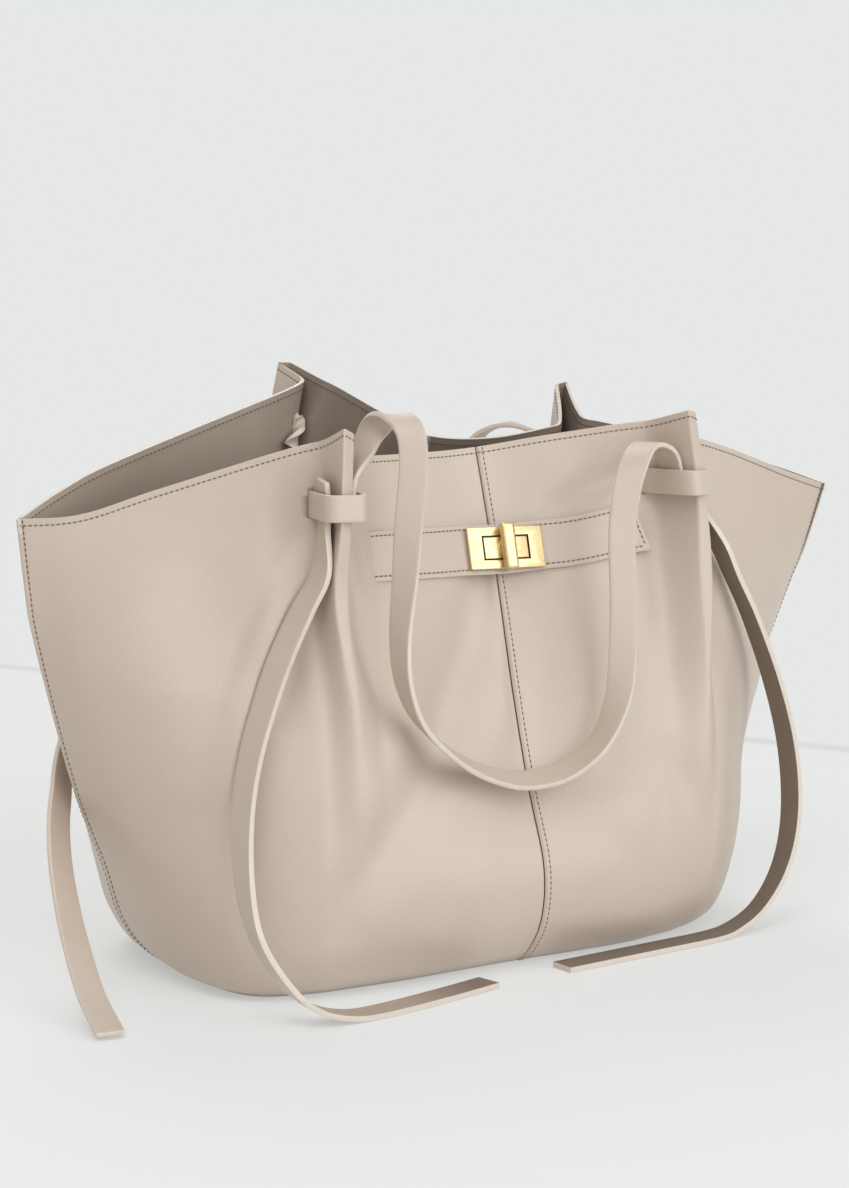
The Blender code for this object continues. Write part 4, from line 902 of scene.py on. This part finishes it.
belt_xs = np.linspace(BELT_LEFT_X, BELT_RIGHT_X, BELT_COLUMNS)
belt_mids = np.interp(belt_xs, np.linspace(BELT_LEFT_X, BELT_RIGHT_X, len(BELT_MID_Z)), BELT_MID_Z)
belt_mids = np.pad(belt_mids, BELT_EVENED // 2, mode="edge")
belt_mids = np.convolve(belt_mids, np.ones(BELT_EVENED) / BELT_EVENED, mode="valid")
belt_rows = []
for share in np.linspace(-0.5, 0.5, BELT_ROWS):
    xs = belt_xs - BELT_SLANT * (0.5 + share) * np.clip(belt_xs / BELT_RIGHT_X, 0, 1) ** 3
    heights = belt_mids + share * BELT_TALL
    depths = [belt_depth(x, z) for x, z in zip(xs, heights)]
    belt_rows.append(np.column_stack([xs, depths, heights]))
belt_rows = softened(belt_rows, 1, 3)
belt_normals = surface_normals(belt_rows)
sunk = BELT_SINK * (1 - np.clip((belt_xs - BELT_LEFT_X) / BELT_SINK_LONG, 0, 1)) ** 2
belt_rows += belt_normals * (BELT_LIFT + BELT_THICK - sunk)[None, :, None]
# A shallow groove runs along all four edges. The left one is tucked in and shows no stitches.
belt_seams = {}
for edge in ("bottom", "top", "first", "last"):
    belt_seams[edge] = inset_line(belt_rows, belt_normals, edge, BELT_STITCH_IN)
grooved = belt_rows.copy()
for line, _ in belt_seams.values():
    away = np.linalg.norm(grooved[:, :, None] - line, axis=3).min(axis=2)
    deep = GROOVE_DEEP * bell(away, GROOVE_WIDE) * (away < GROOVE_END)
    grooved -= belt_normals * deep[:, :, None]
belt = grid_piece("belt", grooved, [leather, edge_paint])
thicken(belt, BELT_THICK, -1.0, BELT_EDGE, 3, inner=0, rim=1)
cut_by(belt, boxed("belt_window", (WINDOW_WIDE, WINDOW_TALL, WINDOW_CUT), lock_turn_to(0.0)))
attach(belt, "bag")
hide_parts("belt_strip")
for edge, label in (("bottom", "low"), ("top", "high"), ("last", "right")):
    line, ups = belt_seams[edge]
    stitch_row(f"belt_{label}_stitches", line[3:-3], ups[3:-3])

# The turn lock, in brushed yellow brass: a slotted plate on the belt, a hub that comes up
# through its window, a thin washer inside the wall, and the bar that turns a quarter turn.
# Heights are measured out from the wall.
PLATE_WIDE, PLATE_TALL, PLATE_THICK, PLATE_EDGE = 45.0, 23.5, 2.2, 0.6
PLATE_LOW = BELT_LIFT + BELT_THICK + 0.7
WINDOW_EDGE, WINDOW_NEAR = 0.22, 0.3
HUB_ROOM, HUB_LOW, HUB_EDGE = 0.8, 0.5, 0.4
HUB_HIGH = PLATE_LOW + PLATE_THICK - 0.2
COLLAR_ROUND, COLLAR_THICK, COLLAR_MIDDLE, COLLAR_EDGE = 4.6, 0.7, HUB_HIGH + 0.25, 0.25
POST_ROUND, POST_LONG, POST_MIDDLE, POST_EDGE = 1.5, 9.2, -3.9, 0.2
POSTS_ACROSS = (-9.0, 9.0)
WASHER_SIZE, WASHER_MIDDLE, WASHER_EDGE = (34.0, 17.0, 1.2), -7.43, 0.3
BAR_WIDE, BAR_TALL, BAR_THICK, BAR_LIFT, BAR_EDGE = 8.2, 26.5, 5.4, 1.0, 2.3
SPINDLE_ROUND, SPINDLE_LONG, SPINDLE_MIDDLE = 2.5, 4.7, HUB_HIGH - 0.35
BRASS_COLOUR = (0.8, 0.64, 0.36)
BRASS_WORN = (0.68, 0.52, 0.27)
GROOVE_SHADE_COLOUR = (0.13, 0.085, 0.035)
# How closely the wear lies, and the brush marks along the plate and across it.
WEAR, BRUSHED = 420.0, (60.0, 1500.0, 1500.0)

brass, tree, shader = new_material("brass")
shader.inputs["Metallic"].default_value = 1.0
place = tree.nodes.new("ShaderNodeTexCoord").outputs["Object"]
wear = noise(tree, place, WEAR, 5.0, 0.65)
toned = blended(tree, "MIX", ranged(tree, wear, 0.35, 0.68), BRASS_COLOUR, BRASS_WORN)
tree.links.new(toned, shader.inputs["Base Color"])
tree.links.new(ranged(tree, wear, 0.3, 0.7, 0.3, 0.46), shader.inputs["Roughness"])
stretched = tree.nodes.new("ShaderNodeMapping")
stretched.inputs["Scale"].default_value = BRUSHED
tree.links.new(place, stretched.inputs["Vector"])
raised(tree, shader, noise(tree, stretched.outputs["Vector"], 1.0, 2.0), 0.08)


def rodded(name, radius, long, place, edge=0.0):
    """A brass rod of this size in millimetres, placed by the matrix with its length along Z."""
    clear_selection()
    bpy.ops.mesh.primitive_cylinder_add(vertices=48, radius=radius * MM, depth=long * MM)
    rod = dressed(bpy.context.object, name, [brass])
    if edge:
        bevelled(rod, "edges", edge, 3)
    rod.data.transform(place)
    smoothed(rod, 35)
    return rod


plate_place = lock_turn_to(PLATE_LOW + PLATE_THICK / 2)
plate = boxed("lock_plate", (PLATE_WIDE, PLATE_TALL, PLATE_THICK), plate_place, [brass], PLATE_EDGE)
cut_by(plate, boxed("plate_window", (WINDOW_WIDE, WINDOW_TALL, WINDOW_CUT), lock_turn_to(0.0)))
bevelled(plate, "window_edge", WINDOW_EDGE, 2, 60)
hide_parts("lock_frame")

hub_size = (WINDOW_WIDE - 2 * HUB_ROOM, WINDOW_TALL - 2 * HUB_ROOM, HUB_HIGH - HUB_LOW)
hub = boxed("lock_base", hub_size, lock_turn_to((HUB_HIGH + HUB_LOW) / 2), [brass], HUB_EDGE)
collar = rodded("lock_collar", COLLAR_ROUND, COLLAR_THICK, lock_turn_to(COLLAR_MIDDLE), COLLAR_EDGE)
hub_posts = []
for n, across in enumerate(POSTS_ACROSS):
    post_place = lock_turn_to(POST_MIDDLE, across)
    hub_posts.append(rodded(f"lock_post_{n}", POST_ROUND, POST_LONG, post_place, POST_EDGE))
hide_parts("lock_hub")
washer = boxed("lock_backing", WASHER_SIZE, lock_turn_to(WASHER_MIDDLE), [brass], WASHER_EDGE)
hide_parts("lock_washer")
# Painted shade: the sides of the window and of the hub, down in the narrow groove between them, get a dark
# brass.
painted_groove_shade = plain("brass_groove_shade", GROOVE_SHADE_COLOUR, rough=0.55, metallic=0.6)
for piece in (plate, hub):
    piece.data.materials.append(painted_groove_shade)
    for face in piece.data.polygons:
        off_foot = np.array(face.center) / MM - LOCK_FOOT
        beside = abs(off_foot @ LOCK_ACROSS) - WINDOW_WIDE / 2
        above = abs(off_foot @ LOCK_UP) - WINDOW_TALL / 2
        if max(beside, above) < WINDOW_NEAR and abs(np.array(face.normal) @ LOCK_OUT) < 0.5:
            face.material_index = len(piece.data.materials) - 1
for piece in (plate, hub, collar, *hub_posts, washer):
    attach(piece, "bag")

bar_place = lock_turn_to(HUB_HIGH + BAR_LIFT + BAR_THICK / 2)
bar = boxed("turn_bar", (BAR_WIDE, BAR_TALL, BAR_THICK), bar_place, [brass], BAR_EDGE, 6)
cut_by(bar, rodded("turn_spindle", SPINDLE_ROUND, SPINDLE_LONG, lock_turn_to(SPINDLE_MIDDLE)), "UNION")
smoothed(bar, 35)
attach(bar, "lock_turn")
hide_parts("lock_turn")

# The bands: a short strap goes round the foot of each pleat, through a slot on either side
# of it, and holds the handle's end and the tail. Its edges are painted.
WRAP_TALL, WRAP_THICK, WRAP_EDGE, WRAP_REACH_IN, WRAP_CORNER = 14.0, 2.4, 0.7, 11.0, 0.42
WRAP_STEPS = 168
SLOT_ROOM, SLOT_EDGE = 0.6, 0.3
STRAP_WIDE, STRAP_THICK = 15.0, 3.0
# Each band: its height, the foot of its pleat, the way out along the pleat, how it leans,
# and its reach toward the middle, away from it and outward.
WRAPS = {
    "front_left": (255.0, (-106.99, -60.11), (-0.1595, -0.9872), (0.0394, 0.1635), 11.2, -11.16, 30.92),
    "front_right": (260.0, (100.77, -55.58), (0.4191, -0.908), (-0.0982, 0.1249), 10.99, -10.59, 29.55),
    "back_left": (267.0, (-69.14, 62.56), (-0.2589, 0.9659), (0.143, -0.1341), 10.66, -7.34, 29.26),
    "back_right": (258.6, (106.33, 55.27), (0.2, 0.9798), (0.0383, -0.1544), 11.23, -11.3, 30.35),
}


def evened(line, steps):
    """The same line divided into steps of equal length."""
    along = walked(line[:, :3], 0)
    wanted = np.linspace(0, along[-1], steps + 1)
    return np.stack([np.interp(wanted, along, column) for column in line.T], axis=-1)


def crosswise(ahead, ways):
    """The ways a strap's width and its thickness lie, square to the way it runs."""
    ahead = ahead / np.linalg.norm(ahead, axis=1)[:, None]
    wide = ways - ahead * (ways * ahead).sum(axis=1)[:, None]
    wide /= np.linalg.norm(wide, axis=1)[:, None]
    return wide, np.cross(ahead, wide)


def strap_piece(name, middle, ways, wide, thick, edge=0.8, closed=False, columns=7, back=0):
    """A flat leather strap along a middle line, its width lying along the ways, in millimetres."""
    if closed:
        middle, ways = np.vstack([middle, middle[:1]]), np.vstack([ways, ways[:1]])
    ahead = np.gradient(middle, axis=0)
    if closed:
        ahead[0] = ahead[-1] = middle[1] - middle[-2]
    half = np.broadcast_to(np.asarray(wide, float) / 2, len(middle))
    shares = half[:, None] * np.linspace(-1, 1, columns)
    rows = middle[:, None] + crosswise(ahead, ways)[0][:, None] * shares[:, :, None]
    piece = grid_piece(name, rows, [leather, edge_paint, flesh])
    if closed:
        weld = piece.modifiers.new("closed", "WELD")
        weld.merge_threshold = 0.01 * MM
        finish_modifiers(piece)
    thicken(piece, thick, 0.0, edge, 3, inner=back, rim=1)
    return piece


def cornered(turn):
    """A sine or cosine that keeps near its ends, so that a ring gets tight corners."""
    return np.copysign(np.abs(turn) ** WRAP_CORNER, turn)


def wrap_ring(height, foot, way, lean, near, far, high):
    """The band's middle line, and the way its width lies."""
    way = np.array(way)
    across = np.array((-way[1], way[0])) * math.copysign(1, foot[0] * way[1])
    turns = np.linspace(0, 2 * math.pi, WRAP_STEPS * 4, endpoint=False)[:, None]
    beside = (near + far) / 2 + (near - far) / 2 * cornered(np.cos(turns))
    out = (high - WRAP_REACH_IN) / 2 + (high + WRAP_REACH_IN) / 2 * cornered(np.sin(turns))
    ring = np.column_stack([foot + across * beside + way * out, np.full(len(turns), height)])
    ring = evened(np.vstack([ring, ring[:1]]), WRAP_STEPS)[:-1]
    return ring, np.tile((*lean, 1.0), (WRAP_STEPS, 1))


for name, figures in WRAPS.items():
    side, half = name.split("_")
    ring, ways = wrap_ring(*figures)
    band = strap_piece(f"{name}_band", ring, ways, WRAP_TALL, WRAP_THICK, WRAP_EDGE, closed=True)
    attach(band, "bag")
    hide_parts(f"{name}_wrap")
    slot_tall, slot_thick = WRAP_TALL + SLOT_ROOM, WRAP_THICK + SLOT_ROOM
    cutter = strap_piece("slot_cutter", ring, ways, slot_tall, slot_thick, SLOT_EDGE, closed=True, columns=3)
    cut_by(walls[side, half], cutter)

# The strap's end and its knot: the end of the handle's strap stands up out of the front left
# band, and a knot of it shows inside the bag, in the opening of the back left pleat.
STRAP_END = ((-116.9, -72.9, 256.5), (-117.0, -73.0, 262.0), (-118.2, -73.6, 268.5))
STRAP_END_THICK, STRAP_END_STEPS = 2.6, 24
KNOT = ((-67.5, 57.0, 293.0), (-71.0, 55.0, 286.0), (-77.0, 54.0, 276.0))
KNOT_WIDE, KNOT_THICK, KNOT_ROUND, KNOT_STEPS = 7.0, 2.8, 1.4, 60
KNOT_FROM, KNOT_TO = -0.3 * math.pi, 1.1 * math.pi

strap_end = evened(np.array(STRAP_END), STRAP_END_STEPS)
end_ways = np.tile((*PLEAT_WAY["front"][PLEAT_FEET[0]], 0.0), (len(strap_end), 1))
strap_end = strap_piece("front_left_strap_end", strap_end, end_ways, STRAP_WIDE, STRAP_END_THICK)
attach(strap_end, "bag")
knot = evened(np.array(KNOT), KNOT_STEPS)
turns = np.linspace(KNOT_FROM, KNOT_TO, len(knot))
knot += np.column_stack([np.sin(turns), np.cos(turns), 0 * turns]) * KNOT_ROUND
knot_ways = np.column_stack([np.cos(turns), -np.sin(turns), 0.2 + 0 * turns])
knot = strap_piece("back_left_knot", knot, knot_ways, KNOT_WIDE, KNOT_THICK)
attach(knot, "bag")

# The handles: each is one strap that rises from behind its two bands, turns over and hangs
# down in a loop. Each point of a strap's line is followed by the way that the strap's width
# lies there. The tops are where the line that a handle swings on passes its two bends.
HANDLE_STEPS = 260
HANDLES = {
    "front": (
        (-102.52, -74.38, 249, -0.16, -0.99, 0), (-100.53, -71.48, 268, -0.16, -0.99, 0),
        (-93.5, -70, 281, 0.35, -0.94, 0), (-88.0, -71.5, 294, 0.7, -0.71, 0),
        (-82.5, -82.5, 301, 0.93, -0.37, 0), (-78.5, -94, 295, 0.93, -0.37, 0),
        (-78.0, -98, 277, 0.9, -0.44, 0), (-82.0, -101, 249, 0.8, -0.6, 0),
        (-85.5, -104, 221, 0.55, -0.83, 0), (-89.5, -106.5, 188, 0.25, -0.97, 0),
        (-87.5, -108, 163, 0.1, -0.98, -0.1), (-76.0, -107, 141, 0, -0.95, -0.25),
        (-50.0, -103.5, 120, 0, -0.92, -0.38), (-24.0, -100, 108.5, 0, -0.9, -0.42),
        (-5.0, -98, 105.5, 0, -0.9, -0.42), (15.0, -100, 109, 0, -0.92, -0.38),
        (33.0, -104, 123, 0.15, -0.95, -0.25), (44.0, -105, 146, 0.55, -0.83, -0.1),
        (47.5, -103.5, 170, 0.88, -0.47, 0), (48.5, -102, 200, 0.97, -0.24, 0),
        (48.2, -100, 238, 0.97, -0.24, 0), (52.5, -98.5, 262, 0.92, -0.39, 0),
        (61.5, -92.5, 275.5, 0.8, -0.6, 0), (73.5, -82.0, 281.5, 0.72, -0.69, 0),
        (87.5, -73.0, 280, 0.62, -0.78, 0), (97.83, -68.59, 273, 0.42, -0.91, 0),
        (100.51, -70.39, 254, 0.42, -0.91, 0),
    ),
    "back": (
        (-66.50, 77.30, 261, -0.26, 0.97, 0), (-64.16, 74.66, 280, -0.26, 0.97, 0),
        (-55.5, 74, 288, 0.35, 0.94, 0), (-50.0, 76, 297, 0.8, 0.6, 0),
        (-46.0, 86, 300, 0.96, 0.28, 0), (-44.0, 97, 293, 0.96, 0.28, 0),
        (-44.0, 102, 275, 0.96, 0.28, 0), (-45.0, 104, 240, 0.97, 0.24, 0),
        (-46.0, 107, 200, 0.85, 0.53, 0), (-44.0, 111, 165, 0.5, 0.86, 0),
        (-36.0, 112, 142, 0.15, 0.96, -0.2), (-14.0, 109.5, 121, 0, 0.92, -0.38),
        (10.0, 106.5, 110, 0, 0.9, -0.42), (30.0, 106.5, 108, 0, 0.9, -0.42),
        (50.0, 109, 115, 0, 0.92, -0.38), (68.0, 112, 134, 0.15, 0.95, -0.2),
        (76.0, 112, 160, 0.55, 0.83, 0), (76.0, 109, 195, 0.88, 0.47, 0),
        (70.0, 106, 235, 0.97, 0.24, 0), (66.0, 102.5, 260, 0.92, 0.39, 0),
        (69.5, 95, 275.5, 0.82, 0.57, 0), (80.0, 84.5, 282.5, 0.66, 0.75, 0),
        (90.0, 76, 280.5, 0.36, 0.93, 0), (101.60, 67.23, 271.6, 0.2, 0.98, 0),
        (101.77, 69.74, 252.6, 0.2, 0.98, 0),
    ),
}
HANDLE_TOPS = {
    "front": ((-81.64, -84.66, 300.84), (75.24, -82.21, 283.38)),
    "back": ((-45.83, 86.65, 299.85), (82.63, 82.12, 282.79)),
}


def strap_line(points, steps):
    """A smooth line through a strap's points, in even steps, with the ways its width lies."""
    points = np.array(points, float)
    smooth = catmull_weights(len(points), np.linspace(0, len(points) - 1, 16 * len(points))) @ points
    line = softened(evened(smooth, steps), 0, 2)
    return line[:, :3], line[:, 3:]


for side, points in HANDLES.items():
    handle = strap_piece(f"{side}_handle_strap", *strap_line(points, HANDLE_STEPS), STRAP_WIDE, STRAP_THICK)
    left, right = (np.array(top) for top in HANDLE_TOPS[side])
    sign = -1.0 if side == "front" else 1.0
    outward = np.array((left[1] - right[1], right[0] - left[0], 0))
    outward *= sign / np.linalg.norm(outward)
    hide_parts(f"{side}_handle", f"{side}_left_handle_end", f"{side}_right_handle_end")
    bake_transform(handle)

# The tails: the straps' long ends hang from the outer side of each band, curl down and lie
# on the floor. Their ends are cut square. Three are held by a round end inside the band.
TAIL_STEPS = 200
# Each tail with a round end: the way that the end points up from the strap's first point.
TUCKED_UP = {
    "front_left": (0.1153, 0.1705, 1.0),
    "front_right": (-0.0816, 0.2017, 1.0),
    "back_right": (0.0, -0.1837, 1.0),
}
ROUND_TURNS = np.radians(np.linspace(84, 6, 9))
FLESH_BEHIND = ("front_right", "back_left")
# How a tail comes to rest: the gap it keeps, how far off a wall is felt, how many steps at
# its top hold still and over how many more a push spreads, and how often it is moved.
REST_GAP, REST_REACH, FLOOR_LIFT = 0.3, 12.0, 0.3
TAIL_STILL, TAIL_HELD, TAIL_SPREAD = 4, 16, 17
REST_ROUNDS = 20
PAST_EDGE = 0.5
# The edges of a strap and its middle, on both faces, in half widths and half thicknesses.
STRAP_CORNERS = ((1, 1), (1, -1), (-1, 1), (-1, -1), (0, 1), (0, -1))

TAILS = {
    "front_left": (
        (-116.9, -72.9, 248.0, -0.16, -0.99, 0), (-117.8, -74.2, 240.7, -0.16, -0.99, 0),
        (-121.5, -78.5, 220, 0.15, -0.99, 0), (-131.5, -79, 203, 0.35, -0.94, 0),
        (-143.5, -81, 182, 0.45, -0.89, 0), (-155.0, -84.5, 158.5, 0.42, -0.91, 0),
        (-165.5, -88.5, 131.5, 0.35, -0.94, 0), (-173.5, -96, 101, 0.25, -0.97, 0),
        (-178.0, -107.5, 72, 0.12, -0.99, 0), (-177.0, -118.5, 46, 0, -1, 0),
        (-167.5, -129, 24.5, 0, -1, 0), (-153.0, -135.5, 9.5, 0, -1, 0),
        (-132.0, -135, 2.6, 0.1, -0.99, 0), (-108.0, -132, 1.8, 0.2, -0.98, 0),
        (-70.0, -122, 1.8, 0.26, -0.97, 0), (-38.0, -112, 1.8, 0.28, -0.96, 0),
    ),
    "front_right": (
        (113.2, -65.4, 253.0, 0.42, -0.91, 0), (113.8, -66.9, 245.7, 0.42, -0.91, 0),
        (128.5, -74, 225, 0.1, -0.99, 0), (138.0, -75.5, 206, 0, -1, 0),
        (151.5, -75, 182, 0.02, -1, 0), (169.5, -72, 145, 0.08, -1, 0),
        (182.0, -70, 110, 0.12, -0.99, 0), (187.0, -70, 78, 0.12, -0.99, 0),
        (184.5, -72, 51, 0.05, -1, 0), (175.5, -74.5, 29, -0.05, -0.99, 0),
        (160.0, -77.5, 12, -0.15, -0.98, 0), (140.0, -82, 3.6, -0.2, -0.98, 0),
        (118.0, -88, 1.8, -0.2, -0.98, 0), (72.0, -95, 1.8, -0.15, -0.99, 0),
        (12.0, -104, 1.8, -0.12, -0.99, 0),
    ),
    "back_left": (
        (-80.9, 73.7, 263.1, -0.26, 0.97, 0), (-84.0, 78.5, 247, -0.45, 0.75, 0.3),
        (-99.0, 82, 230, -0.6, 0.4, 0.6), (-126.0, 79, 203, -0.68, 0, 0.7),
        (-160.0, 69, 172, -0.68, -0.2, 0.68), (-192.0, 52, 143, -0.68, -0.3, 0.66),
        (-216.0, 33, 118, -0.7, -0.3, 0.63), (-231.0, 13, 93, -0.8, -0.25, 0.5),
        (-238.5, -6, 70, -0.88, -0.2, 0.4), (-243.0, -29, 47, -0.93, -0.1, 0.3),
        (-247.0, -56, 28, -0.97, 0, 0.2), (-250.0, -82, 13.5, -0.99, 0.05, 0.1),
        (-252.0, -112, 2.9, -0.99, 0.1, 0),
    ),
    "back_right": (
        (116.1, 67.6, 251.6, 0.2, 0.98, 0), (116.1, 69.0, 244.2, 0.2, 0.98, 0),
        (129.0, 82, 220, 0, 1, 0), (141.0, 89, 200, 0, 1, 0),
        (158.0, 95, 170, 0, 1, 0), (174.0, 100, 135, 0, 1, 0),
        (184.0, 105, 100, 0, 1, 0), (186.0, 110, 70, 0, 1, 0),
        (180.0, 114, 42, 0, 1, 0), (164.0, 117, 19, 0, 1, 0),
        (144.0, 119, 5.4, 0.05, 1, 0), (122.0, 121, 1.8, 0.1, 0.99, 0),
        (80.0, 126, 1.8, 0.12, 0.99, 0), (34.0, 132, 1.8, 0.12, 0.99, 0),
    ),
}

wall_tree = face_tree([rows for rows, _ in wall_faces.values()])


def wall_push(corner):
    """The move that takes this point off a wall, or none where no wall's face is near."""
    spot, normal, _, away = wall_tree.find_nearest(corner, REST_REACH)
    if spot is None:
        return np.zeros(3)
    clear = (corner - spot).dot(normal)
    # Past a wall's own edge the nearest point is the edge, and there the face says nothing.
    if away - abs(clear) >= PAST_EDGE:
        return np.zeros(3)
    return np.array(normal) * max(REST_GAP - clear, 0.0)


def rested(middle, ways):
    """The line moved out wherever the strap's edges would come into a wall or the floor."""
    middle = middle.copy()
    even = np.ones(TAIL_SPREAD) / TAIL_SPREAD
    for _ in range(REST_ROUNDS):
        wide, deep = crosswise(np.gradient(middle, axis=0), ways)
        wide, deep = wide * STRAP_WIDE / 2, deep * STRAP_THICK / 2
        push = np.zeros_like(middle)
        for i in range(TAIL_HELD, len(middle)):
            pushes = [wall_push(Vector(middle[i] + wide[i] * a + deep[i] * b)) for a, b in STRAP_CORNERS]
            push[i] = max(pushes, key=np.linalg.norm)
        push = np.column_stack([np.convolve(column, even, mode="same") for column in push.T])
        push *= np.clip((np.arange(len(push)) - TAIL_STILL) / TAIL_HELD, 0, 1)[:, None]
        middle += push
        low = FLOOR_LIFT + np.abs(wide[:, 2]) + np.abs(deep[:, 2])
        middle[:, 2] = np.maximum(middle[:, 2], low)
    return middle


for place, points in TAILS.items():
    middle, ways = strap_line(points, TAIL_STEPS)
    middle = rested(middle, ways)
    wide = np.full(len(middle), STRAP_WIDE)
    if place in TUCKED_UP:
        end = middle[0] + np.outer(np.sin(ROUND_TURNS), TUCKED_UP[place]) * STRAP_WIDE / 2
        middle = np.vstack([end, middle])
        ways = np.vstack([np.tile(ways[0], (len(end), 1)), ways])
        wide = np.concatenate([np.cos(ROUND_TURNS) * STRAP_WIDE, wide])
    # The flesh side lies toward the bag.
    turned = 1 if place in FLESH_BEHIND else -1
    tail = strap_piece(f"{place}_tail_strap", middle, ways * turned, wide, STRAP_THICK, back=2)
    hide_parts(f"{place}_tail")
    if place in TUCKED_UP:
        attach(tail, f"{place}_tail")
    else:
        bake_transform(tail)
